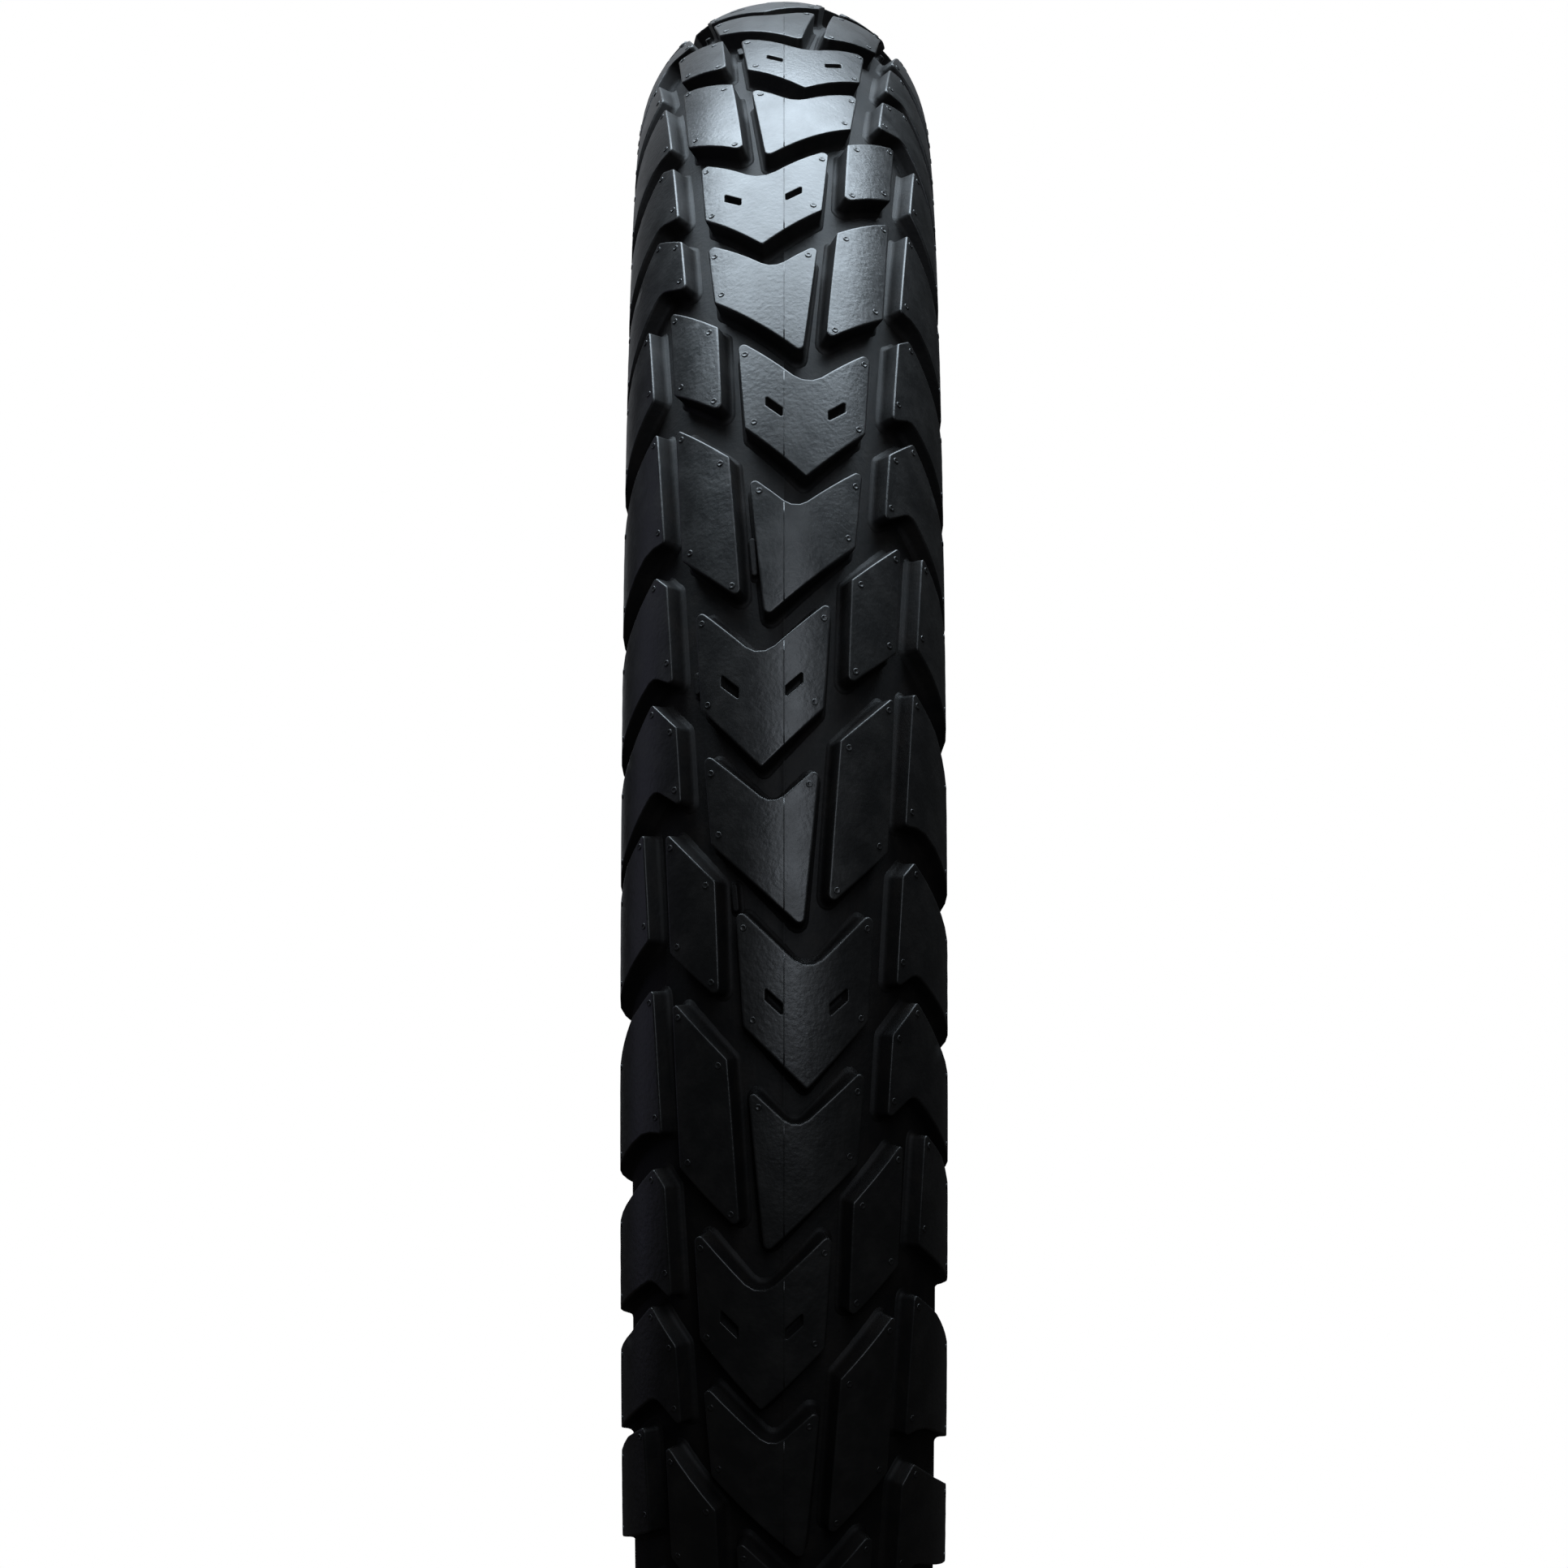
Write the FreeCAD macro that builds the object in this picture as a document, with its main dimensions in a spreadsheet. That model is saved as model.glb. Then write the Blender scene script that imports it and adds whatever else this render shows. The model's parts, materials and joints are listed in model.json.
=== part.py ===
import FreeCAD, Part
import math
import os
import Sketcher

# Block-tread motorcycle tire for a 21 inch rim, in the free state, off its rim.
# The axle line is the Y axis and the origin is the middle of the tire. "Right" is +Y.
# Every layer of the casing is a ring turned about the axle line. Its section is drawn with
# the radius from the axle along the sketch's X and the offset from the middle plane along
# the sketch's Y. Neighbouring layers share their boundary, as vulcanised rubber does.

DIMENSIONS = {
    # overall form
    "OuterRadius": 350.0,        # axle line to the top of the blocks on the crown
    "BlockArc": 47.0,            # section radius over the block tops
    "BlockEndArc": 20.6,         # section radius of the block ends below the widest point
    "BlockEndRadius": 288.0,     # the blocks run out into the skin at this radius
    "CasingCentre": 300.0,       # radius at which the casing's section arcs are centred
    "SkinArc": 43.5,             # section radius of the groove floors
    "LowerSkinArc": 23.5,        # section radius of the sidewall skin below the widest point
    "SlotDepth": 4.0,            # short slots in the large centre blocks
    # rubber and cord layers, from the outside in
    "UndertreadArc": 41.8,
    "BreakerArc": 41.0,
    "BreakerGauge": 1.0,
    "PlyGauge": 1.0,
    "LinerGauge": 1.0,
    "BreakerOuterAngle": 48.0,   # half angles of the layers that stop at the shoulders
    "BreakerInnerAngle": 52.0,
    "UndertreadAngle": 60.0,
    "WingAngle": 35.0,           # edge of the tread, below the widest point
    "RimLineAngle": 52.0,        # end of the sidewall arc, beside the rim flange
    # lower casing
    "CavityArc": 12.0,           # section radius of the air chamber's lower corner
    "SlantAngle": 40.0,          # slope of the casing from the sidewall down to the toe
    # bead
    "BeadSeatRadius": 266.7,     # 21 inch rim, measured at the bead seat
    "HeelHalfWidth": 27.3,       # half of a 2.15 inch rim
    "FlangeTop": 275.0,          # end of the flat flank that lies against the rim flange
    "HeelArc": 4.0,
    "ToeHalfWidth": 15.9,
    "ToeChamfer": 0.8,
    "WrapGauge": 0.8,            # each fabric layer where it passes round the bead
    "BeadWrapGauge": 0.6,
    "BundleTop": 273.8,
    "FillerTip": 31.5,           # offset of the bead filler's thin edge
    "ChaferTop": 274.0,
    "TurnUpStep": 1.0,           # each turned-up edge ends this far from the one beside it
    "FillerFoot": 277.0,         # the filler's outer face starts to lean at this radius
    # bead wire
    "WireRadius": 0.48,
    "WirePitch": 1.3,
}

WIRES_ACROSS = 4
WIRES_HIGH = 3

# Tread blocks. The pattern repeats every 30 degrees, and its left half is the right half
# mirrored and turned by 15 degrees. An outline point is (across, along): millimetres along
# the section arc from the middle plane, and millimetres along the crown.
REPEATS = 12
BLOCKS = {
    "slotted_chevron": [(-25.7, 131.9), (-6.9, 114.6), (13.6, 132.0), (11.2, 99.5),
                        (-6.5, 81.8), (-24.0, 100.6)],
    "plain_chevron": [(-22.4, 85.6), (-3.3, 70.6), (9.6, 80.3), (5.7, 37.8), (-21.0, 60.0)],
    "large_intermediate": [(16.5, 88.8), (33.5, 106.0), (30.3, 60.6), (13.0, 44.8)],
    "small_intermediate": [(20.7, 140.0), (36.9, 155.8), (34.1, 122.5), (19.2, 109.0)],
    "shoulder_a": [(48.0, 159.4), (90.0, 134.0), (90.0, 104.5), (45.1, 128.0)],
    "shoulder_b": [(42.8, 111.3), (90.0, 81.0), (90.0, 52.0), (63.5, 58.0), (39.2, 70.0)],
    "shoulder_c": [(37.6, 52.5), (42.8, 57.5), (90.0, 30.5), (90.0, 4.0), (43.4, 25.2),
                   (35.2, 21.5)],
    "shoulder_d": [(33.4, 5.6), (44.0, 15.6), (90.0, -12.0), (90.0, -42.0), (42.2, -11.0),
                   (31.7, -16.9)],
}
SLOTS = [
    [(-18.2, 110.5), (-13.0, 105.8), (-13.0, 102.4), (-18.2, 107.1)],
    [(5.3, 110.3), (0.5, 105.7), (0.5, 102.4), (5.3, 107.0)],
]
BLOCK_ROOT = 1.0                 # how far a block is let into the tread base
BLOCK_CLEAR = 4.0                # how far a block's walls are drawn past its top


def make_sheet(doc):
    sheet = doc.addObject("Spreadsheet::Sheet", "Dims")
    for row, (alias, value) in enumerate(DIMENSIONS.items(), start=1):
        sheet.set(f"A{row}", alias)
        sheet.set(f"B{row}", str(value))
        sheet.setAlias(f"B{row}", alias)
    doc.recompute()
    return sheet


# A point of the section is a pair of expressions (radius, offset). An arc is a pair
# (centre point, section radius). A level counts the casing's faces from the air chamber
# outwards: 0 inside the liner, 1 between liner and inner ply, 2 between the plies,
# 3 outside the outer ply.

CAVITY_CROWN_ARC = "(Dims.BreakerArc - 2 * Dims.BreakerGauge - 2 * Dims.PlyGauge - Dims.LinerGauge)"
CORNER_CENTRE = f"({CAVITY_CROWN_ARC} - Dims.CavityArc)"
SKIN_CENTRE = "(Dims.SkinArc - Dims.LowerSkinArc)"
BEAD_CORNER = "Dims.BeadSeatRadius + Dims.HeelArc"
HEEL_CENTRE = "Dims.HeelHalfWidth - Dims.HeelArc"
TOE_CENTRE = "Dims.ToeHalfWidth + Dims.HeelArc"
OUTERMOST_PLY = 3


def above_cavity(level):
    """Thickness of liner and plies inside a level."""
    if level == 0:
        return "0"
    return f"(Dims.LinerGauge + {level - 1} * Dims.PlyGauge)"


def crown_point(section_radius, angle):
    return (f"Dims.CasingCentre + ({section_radius}) * cos(({angle}) * 1deg)",
            f"({section_radius}) * sin(({angle}) * 1deg)")


def crown_arc(section_radius):
    return (("Dims.CasingCentre", "0"), section_radius)


def level_arc(level):
    return f"({CAVITY_CROWN_ARC} + {above_cavity(level)})"


def corner_arc(level):
    centre = ("Dims.CasingCentre", CORNER_CENTRE)
    return (centre, f"(Dims.CavityArc + {above_cavity(level)})")


def corner_end(level):
    section_radius = corner_arc(level)[1]
    return (f"(Dims.CasingCentre - {section_radius} * cos(Dims.SlantAngle * 1deg))",
            f"({CORNER_CENTRE} + {section_radius} * sin(Dims.SlantAngle * 1deg))")


def on_slant(level, offset):
    """Point of the slanted face of a level, at an offset from the middle plane."""
    radius, across = corner_end(level)
    return (f"{radius} - ({across} - ({offset})) * tan(Dims.SlantAngle * 1deg)", offset)


def toe_flank(level):
    return f"(Dims.ToeHalfWidth + {level} * Dims.WrapGauge)"


# A wrap counts the faces round the bead from the skin inwards: 0 skin, 1 inside the
# chafer, 2 between the turned-up plies, 3 round the bead wrap, 4 round the bundle.

BUNDLE = 4


def wrap_depth(wrap):
    if wrap < BUNDLE:
        return f"{wrap} * Dims.WrapGauge"
    return f"{BUNDLE - 1} * Dims.WrapGauge + Dims.BeadWrapGauge"


def heel_flank(wrap):
    return f"(Dims.HeelHalfWidth - ({wrap_depth(wrap)}))"


def inner_flank(wrap):
    return f"(Dims.ToeHalfWidth + {wrap_depth(wrap)})"


def bead_floor(wrap):
    return f"(Dims.BeadSeatRadius + {wrap_depth(wrap)})"


def bead_arc_radius(wrap):
    return f"(Dims.HeelArc - ({wrap_depth(wrap)}))"


def heel_arc(wrap):
    return ((BEAD_CORNER, HEEL_CENTRE), bead_arc_radius(wrap))


def toe_arc(wrap):
    return ((BEAD_CORNER, TOE_CENTRE), bead_arc_radius(wrap))


def turn_up_top(wrap):
    """Radius of the end of the layer that lies inside a wrap face, on the heel side."""
    return f"(Dims.ChaferTop + {wrap} * Dims.TurnUpStep)"


def skin_point(section_radius, angle):
    return (f"(Dims.CasingCentre - ({section_radius}) * sin({angle} * 1deg))",
            f"({SKIN_CENTRE} + ({section_radius}) * cos({angle} * 1deg))")


def skin_arc(section_radius):
    return (("Dims.CasingCentre", SKIN_CENTRE), section_radius)


RIM_LINE = skin_point("Dims.LowerSkinArc", "Dims.RimLineAngle")
UNDER_WING_ARC = f"(Dims.BreakerArc - {SKIN_CENTRE})"


def flange_arc():
    """Hollow that wraps the rim flange: upright at its foot, and through the rim line."""
    across = f"({RIM_LINE[1]} - Dims.HeelHalfWidth)"
    up = f"({RIM_LINE[0]} - Dims.FlangeTop)"
    section_radius = f"(({across} * {across} + {up} * {up}) / (2 * {across}))"
    return (("Dims.FlangeTop", f"Dims.HeelHalfWidth + {section_radius}"), section_radius)


# Section outlines. Each item is (point, arc that arrives there, or None for a straight
# stretch). They are drawn on the right side of the tire.

def to_bead(level):
    """Outer or inner face of a ply, from the crown down the sidewall to the toe corner."""
    return [
        (crown_point(level_arc(level), "90"), crown_arc(level_arc(level))),
        (corner_end(level), corner_arc(level)),
        (on_slant(level, toe_flank(level)), None),
        ((BEAD_CORNER, toe_flank(level)), None),
    ]


def round_bead(wrap):
    """Face under the bead, from the toe corner to the heel corner."""
    return [
        ((bead_floor(wrap), TOE_CENTRE), toe_arc(wrap)),
        ((bead_floor(wrap), HEEL_CENTRE), None),
        ((BEAD_CORNER, heel_flank(wrap)), heel_arc(wrap)),
    ]


def backwards(path, arrival=None):
    """The same path walked the other way; arrival is the arc that reaches its far end."""
    points = [point for point, arc in path]
    arcs = [arc for point, arc in path]
    following = arcs[1:] + [arrival]
    return [(points[i], following[i]) for i in range(len(path) - 1, -1, -1)]


def left_point(point):
    return (point[0], f"-({point[1]})")


def left_path(path):
    result = []
    for point, arc in path:
        if arc is not None:
            arc = (left_point(arc[0]), arc[1])
        result.append((left_point(point), arc))
    return result


def bead_to_bead(half_outer, half_inner, crown_outer, crown_inner):
    """Outline of a ring that runs from one bead over the crown to the other.

    Each half path starts at the widest point and ends at its edge by the bead."""
    top_outer = (crown_point(crown_outer, "0"), crown_arc(crown_outer))
    top_inner = (crown_point(crown_inner, "0"), crown_arc(crown_inner))
    outline = [top_outer] + half_outer + backwards(half_inner) + [top_inner]
    left_outer = [top_outer] + left_path(half_outer)
    left_inner = left_path(half_inner)
    return outline + left_inner + backwards(left_outer)[:-1]


def evaluate(sheet, expression):
    value = sheet.evalExpression(expression)
    return float(getattr(value, "Value", value))


def arc_between(start, end, centre, section_radius):
    """Short arc from start to end, and whether it runs anticlockwise."""
    first = math.atan2(start.y - centre.y, start.x - centre.x)
    last = math.atan2(end.y - centre.y, end.x - centre.x)
    anticlockwise = (last - first) % (2 * math.pi) < math.pi
    circle = Part.Circle(centre, FreeCAD.Vector(0, 0, 1), section_radius)
    if not anticlockwise:
        first, last = last, first
    return Part.ArcOfCircle(circle, first, last), anticlockwise


def draw_outline(sketch, sheet, outline):
    """Closed outline whose corners and radii are all bound to the sheet."""

    def position(point):
        return FreeCAD.Vector(evaluate(sheet, point[0]), evaluate(sheet, point[1]), 0)

    def bind(kind, geo, vertex, value, expression):
        number = sketch.addConstraint(Sketcher.Constraint(kind, geo, *vertex, value))
        sketch.setExpression(f"Constraints[{number}]", expression)

    joints = []
    for index, (point, arc) in enumerate(outline):
        start = position(outline[index - 1][0])
        end = position(point)
        first, last = 1, 2
        if arc is None:
            geo = sketch.addGeometry(Part.LineSegment(start, end), False)
        else:
            centre, section_radius = arc
            size = evaluate(sheet, section_radius)
            curve, anticlockwise = arc_between(start, end, position(centre), size)
            geo = sketch.addGeometry(curve, False)
            if not anticlockwise:
                first, last = 2, 1
            bind("Radius", geo, (), size, section_radius)
        bind("DistanceX", geo, (last,), end.x, point[0])
        bind("DistanceY", geo, (last,), end.y, point[1])
        joints.append((geo, first, last))
    for before, after in zip([joints[-1]] + joints[:-1], joints):
        sketch.addConstraint(Sketcher.Constraint("Coincident", before[0], before[2],
                                                 after[0], after[1]))


def add_body(doc, label):
    body = doc.addObject("PartDesign::Body", label)
    body.Label = label
    return body


def add_sketch(body):
    sketch = body.newObject("Sketcher::SketchObject", f"{body.Name}_section")
    plane = next(f for f in body.Origin.OriginFeatures if f.Role == "XY_Plane")
    sketch.AttachmentSupport = [(plane, "")]
    sketch.MapMode = "FlatFace"
    return sketch


def revolve(body, sketch, name, angle, reverse=False):
    ring = body.newObject("PartDesign::Revolution", f"{body.Name}_{name}")
    ring.Profile = sketch
    ring.ReferenceAxis = (sketch, ["V_Axis"])
    ring.Angle = angle
    ring.Reversed = reverse
    ring.Refine = False
    sketch.Visibility = False
    body.Placement = FreeCAD.Placement()


def add_ring(doc, sheet, label, outline, in_halves=False):
    """Ring turned in one go, or in two half turns where a thin wall needs shorter faces."""
    body = add_body(doc, label)
    sketch = add_sketch(body)
    draw_outline(sketch, sheet, outline)
    if in_halves:
        revolve(body, sketch, "front_half", 180)
        revolve(body, sketch, "rear_half", 180, reverse=True)
    else:
        revolve(body, sketch, "ring", 360)
    return body


def add_pair(doc, sheet, label, outline, in_halves=False):
    """The same ring on both sides of the tire."""
    return [
        add_ring(doc, sheet, f"{label}_right", outline, in_halves),
        add_ring(doc, sheet, f"{label}_left", left_path(outline), in_halves),
    ]


def crown_band(outer, inner, angle):
    """Layer between two crown arcs that stops at both shoulders."""
    return [
        (crown_point(outer, f"-{angle}"), None),
        (crown_point(outer, "0"), crown_arc(outer)),
        (crown_point(outer, angle), crown_arc(outer)),
        (crown_point(inner, angle), None),
        (crown_point(inner, "0"), crown_arc(inner)),
        (crown_point(inner, f"-{angle}"), crown_arc(inner)),
    ]


BREAKER_MIDDLE = "(Dims.BreakerArc - Dims.BreakerGauge)"
CASING_ARC = "(Dims.BreakerArc - 2 * Dims.BreakerGauge)"


def add_crown_layers(doc, sheet):
    return [
        add_ring(doc, sheet, "undertread",
                 crown_band("Dims.UndertreadArc", "Dims.BreakerArc", "Dims.UndertreadAngle")),
        add_ring(doc, sheet, "breaker_ply_outer",
                 crown_band("Dims.BreakerArc", BREAKER_MIDDLE, "Dims.BreakerOuterAngle")),
        add_ring(doc, sheet, "breaker_ply_inner",
                 crown_band(BREAKER_MIDDLE, CASING_ARC, "Dims.BreakerInnerAngle")),
    ]


def add_breaker_edge_strips(doc, sheet):
    """Rubber strips that fill the steps at the breaker edges."""
    outline = [
        (crown_point("Dims.BreakerArc", "Dims.BreakerOuterAngle"), None),
        (crown_point("Dims.BreakerArc", "Dims.UndertreadAngle"), crown_arc("Dims.BreakerArc")),
        (crown_point(CASING_ARC, "Dims.UndertreadAngle"), None),
        (crown_point(CASING_ARC, "Dims.BreakerInnerAngle"), crown_arc(CASING_ARC)),
        (crown_point(BREAKER_MIDDLE, "Dims.BreakerInnerAngle"), None),
        (crown_point(BREAKER_MIDDLE, "Dims.BreakerOuterAngle"), crown_arc(BREAKER_MIDDLE)),
    ]
    return add_pair(doc, sheet, "breaker_edge_strip", outline)


def ply_face(level, wrap):
    """Face of a ply from the widest point down, round the bead and up on its outside."""
    return to_bead(level) + round_bead(wrap)


def add_casing(doc, sheet):
    """Two plies turned up round both beads, and the airtight liner inside them."""
    outer_ply = bead_to_bead(
        ply_face(3, 3) + [((turn_up_top(2), heel_flank(3)), None)],
        ply_face(2, 2) + [((turn_up_top(2), heel_flank(2)), None)],
        level_arc(3), level_arc(2))
    inner_ply = bead_to_bead(
        ply_face(2, 2) + [((turn_up_top(1), heel_flank(2)), None)],
        ply_face(1, 1) + [((turn_up_top(1), heel_flank(1)), None)],
        level_arc(2), level_arc(1))
    liner = bead_to_bead(to_bead(1), to_bead(0), level_arc(1), level_arc(0))
    return [
        add_ring(doc, sheet, "carcass_ply_outer", outer_ply),
        add_ring(doc, sheet, "carcass_ply_inner", inner_ply),
        add_ring(doc, sheet, "inner_liner", liner),
    ]


def add_sidewalls(doc, sheet):
    """Sidewall rubber from the breaker edge down to the chafer."""
    outline = [
        (crown_point("Dims.BreakerArc", "Dims.UndertreadAngle"), None),
        (crown_point("Dims.BreakerArc", "90"), crown_arc("Dims.BreakerArc")),
        (skin_point(UNDER_WING_ARC, "Dims.WingAngle"), skin_arc(UNDER_WING_ARC)),
        (skin_point("Dims.LowerSkinArc", "Dims.WingAngle"), None),
        (RIM_LINE, skin_arc("Dims.LowerSkinArc")),
        (("Dims.FlangeTop", "Dims.HeelHalfWidth"), flange_arc()),
        ((turn_up_top(0), heel_flank(0)), None),
        ((turn_up_top(0), heel_flank(1)), None),
        ((turn_up_top(1), heel_flank(1)), None),
        ((turn_up_top(1), heel_flank(2)), None),
        ((turn_up_top(2), heel_flank(2)), None),
        ((turn_up_top(2), heel_flank(3)), None),
        (("Dims.FillerFoot", heel_flank(3)), None),
        (on_slant(OUTERMOST_PLY, "Dims.FillerTip"), None),
        (corner_end(OUTERMOST_PLY), None),
        (crown_point(CASING_ARC, "90"), corner_arc(OUTERMOST_PLY)),
        (crown_point(CASING_ARC, "Dims.UndertreadAngle"), crown_arc(CASING_ARC)),
    ]
    return add_pair(doc, sheet, "sidewall", outline)


def add_chafers(doc, sheet):
    """Rubber-coated fabric that takes the rub of the rim, from the flange to the toe."""
    outline = [
        ((turn_up_top(0), heel_flank(0)), None),
        ((BEAD_CORNER, heel_flank(0)), None),
        ((bead_floor(0), HEEL_CENTRE), heel_arc(0)),
        ((bead_floor(0), "Dims.ToeHalfWidth + Dims.ToeChamfer"), None),
        ((f"{bead_floor(0)} + Dims.ToeChamfer", "Dims.ToeHalfWidth"), None),
        ((BEAD_CORNER, "Dims.ToeHalfWidth"), None),
        ((BEAD_CORNER, inner_flank(1)), None),
    ] + round_bead(1) + [((turn_up_top(0), heel_flank(1)), None)]
    return add_pair(doc, sheet, "chafer", outline, in_halves=True)


def add_bead_wraps(doc, sheet):
    """Square-woven strip folded round the wire bundle and up the foot of the filler."""
    outline = [
        (on_slant(OUTERMOST_PLY, inner_flank(3)), None),
        ((BEAD_CORNER, inner_flank(3)), None),
    ] + round_bead(3) + [
        ((turn_up_top(1), heel_flank(3)), None),
        ((turn_up_top(1), heel_flank(BUNDLE)), None),
    ] + backwards([((BEAD_CORNER, inner_flank(BUNDLE)), None)] + round_bead(BUNDLE)) + [
        (on_slant(OUTERMOST_PLY, inner_flank(BUNDLE)), None),
    ]
    return add_pair(doc, sheet, "bead_wrap", outline)


def add_bead_fillers(doc, sheet):
    """Hard rubber wedge that carries the bead's stiffness into the sidewall."""
    outline = [
        (("Dims.BundleTop", inner_flank(BUNDLE)), None),
        (("Dims.BundleTop", heel_flank(BUNDLE)), None),
        ((turn_up_top(1), heel_flank(BUNDLE)), None),
        ((turn_up_top(1), heel_flank(3)), None),
        (("Dims.FillerFoot", heel_flank(3)), None),
        (on_slant(OUTERMOST_PLY, "Dims.FillerTip"), None),
        (on_slant(OUTERMOST_PLY, inner_flank(BUNDLE)), None),
    ]
    return add_pair(doc, sheet, "bead_filler", outline)


def wire_positions():
    """Centres of the bead wires: the bundle's middle, plus a grid at the wire pitch."""
    middle_offset = f"(({inner_flank(BUNDLE)} + {heel_flank(BUNDLE)}) / 2)"
    middle_radius = f"((Dims.BundleTop + {bead_floor(BUNDLE)}) / 2)"
    for row in range(WIRES_HIGH):
        for column in range(WIRES_ACROSS):
            up = row - (WIRES_HIGH - 1) / 2
            across = column - (WIRES_ACROSS - 1) / 2
            yield (f"{middle_radius} + ({up}) * Dims.WirePitch",
                   f"{middle_offset} + ({across}) * Dims.WirePitch")


def add_bead_bundles(doc, sheet):
    """Steel wires side by side in three layers, and the hard rubber that fills round them."""
    outline = [
        (("Dims.BundleTop", inner_flank(BUNDLE)), None),
        ((BEAD_CORNER, inner_flank(BUNDLE)), None),
    ] + round_bead(BUNDLE) + [(("Dims.BundleTop", heel_flank(BUNDLE)), None)]
    made = []
    for side, sign, path in (("right", "", outline), ("left", "-", left_path(outline))):
        block = add_ring(doc, sheet, f"bead_block_{side}", path)
        wires = []
        for number, (radius, offset) in enumerate(wire_positions(), start=1):
            wire = doc.addObject("Part::Torus", f"bead_wire_{side}_{number}")
            wire.setExpression("Radius1", radius)
            wire.setExpression("Radius2", "Dims.WireRadius")
            wire.setExpression("Placement.Base.y", f"{sign}({offset})")
            wire.Placement.Rotation = FreeCAD.Rotation(FreeCAD.Vector(1, 0, 0), 90)
            wires.append(wire)
        bundle = doc.addObject("Part::Compound", f"bead_wires_{side}")
        bundle.Links = wires
        rubber = doc.addObject("Part::Cut", f"bead_insulation_{side}")
        rubber.Base = block
        rubber.Tool = bundle
        for piece in (bundle, rubber):
            piece.Label = piece.Name
            made.append(piece)
    return made


# Tread: one moulding of base rubber and blocks.

def add_tread_base(doc, sheet):
    """Rubber under the grooves, from one tread edge to the other."""
    def half(sign):
        path = [
            (crown_point("Dims.SkinArc", "90"), crown_arc("Dims.SkinArc")),
            (skin_point("Dims.LowerSkinArc", "Dims.WingAngle"), skin_arc("Dims.LowerSkinArc")),
            (skin_point(UNDER_WING_ARC, "Dims.WingAngle"), None),
            (crown_point("Dims.BreakerArc", "90"), skin_arc(UNDER_WING_ARC)),
            (crown_point("Dims.BreakerArc", "Dims.UndertreadAngle"),
             crown_arc("Dims.BreakerArc")),
            (crown_point("Dims.UndertreadArc", "Dims.UndertreadAngle"), None),
        ]
        return path if sign > 0 else left_path(path)

    inner_top = (crown_point("Dims.UndertreadArc", "0"), crown_arc("Dims.UndertreadArc"))
    outer_top = (crown_point("Dims.SkinArc", "0"), crown_arc("Dims.SkinArc"))
    outline = [outer_top] + half(1) + [inner_top]
    outline += backwards([outer_top] + half(-1), crown_arc("Dims.UndertreadArc"))[:-1]
    return add_ring(doc, sheet, "tread_base", outline)


class Surface:
    """Outer surface over the block tops, in tread coordinates."""

    def __init__(self, sheet):
        self.arc = sheet.BlockArc
        self.centre = sheet.OuterRadius - sheet.BlockArc
        self.crown = sheet.OuterRadius
        self.lower_arc = sheet.BlockEndArc

    def section(self, across):
        """Section point and its outward direction, as (radius, offset) pairs."""
        sign = math.copysign(1.0, across)
        quarter = self.arc * math.pi / 2
        if abs(across) <= quarter:
            arc, middle = self.arc, 0.0
            angle = abs(across) / self.arc
        else:
            arc, middle = self.lower_arc, self.arc - self.lower_arc
            angle = math.pi / 2 + (abs(across) - quarter) / self.lower_arc
        up, out = math.cos(angle), math.sin(angle)
        return (self.centre + arc * up, sign * (middle + arc * out)), (up, sign * out)

    def point(self, across, along):
        (radius, offset), (up, out) = self.section(across)
        angle = along / self.crown
        turned = FreeCAD.Vector(math.cos(angle), 0, math.sin(angle))
        side = FreeCAD.Vector(0, 1, 0)
        return turned * radius + side * offset, turned * up + side * out


def prism(surface, outline, depth, clear):
    """Straight-walled solid over an outline, from a depth below the surface to above it."""
    points, normals = zip(*[surface.point(*place) for place in outline])
    normal = sum(normals, FreeCAD.Vector()).normalize()
    lowest = min(p.dot(normal) for p in points) - depth
    highest = max(p.dot(normal) for p in points) + clear
    base = [p + normal * (lowest - p.dot(normal)) for p in points]
    wall = Part.Face(Part.makePolygon(base + base[:1]))
    return wall.extrude(normal * (highest - lowest))


def block_shell(sheet, surface):
    """Ring between the surface over the blocks and the inside of the tread base."""
    crown = FreeCAD.Vector(surface.crown, 0, 0)
    widest = FreeCAD.Vector(surface.centre, surface.arc, 0)
    end_angle = math.asin((surface.centre - sheet.BlockEndRadius) / surface.lower_arc)

    def lower(angle, section_radius):
        return FreeCAD.Vector(surface.centre - section_radius * math.sin(angle),
                              surface.arc - surface.lower_arc
                              + section_radius * math.cos(angle), 0)

    def upper(section_radius, angle):
        return FreeCAD.Vector(sheet.CasingCentre + section_radius * math.cos(angle),
                              section_radius * math.sin(angle), 0)

    def mirror(point):
        return FreeCAD.Vector(point.x, -point.y, 0)

    mid_crown = FreeCAD.Vector(surface.centre + surface.arc * math.cos(math.pi / 4),
                               surface.arc * math.sin(math.pi / 4), 0)
    mid_lower = lower(end_angle / 2, surface.lower_arc)
    edge = lower(end_angle, surface.lower_arc)
    root = sheet.SkinArc - BLOCK_ROOT
    root_foot = FreeCAD.Vector(edge.x, edge.y - 2 * BLOCK_ROOT, 0)
    edges = []
    for side in (lambda p: p, mirror):
        edges.append(Part.Arc(side(crown), side(mid_crown), side(widest)).toShape())
        edges.append(Part.Arc(side(widest), side(mid_lower), side(edge)).toShape())
        edges.append(Part.makeLine(side(edge), side(root_foot)))
        edges.append(Part.makeLine(side(root_foot), side(upper(root, math.pi / 2))))
        edges.append(Part.Arc(side(upper(root, math.pi / 2)), side(upper(root, math.pi / 4)),
                              side(upper(root, 0))).toShape())
    section = Part.Face(Part.Wire(Part.__sortEdges__(edges)))
    return section.revolve(FreeCAD.Vector(), FreeCAD.Vector(0, 1, 0), 360)


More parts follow.
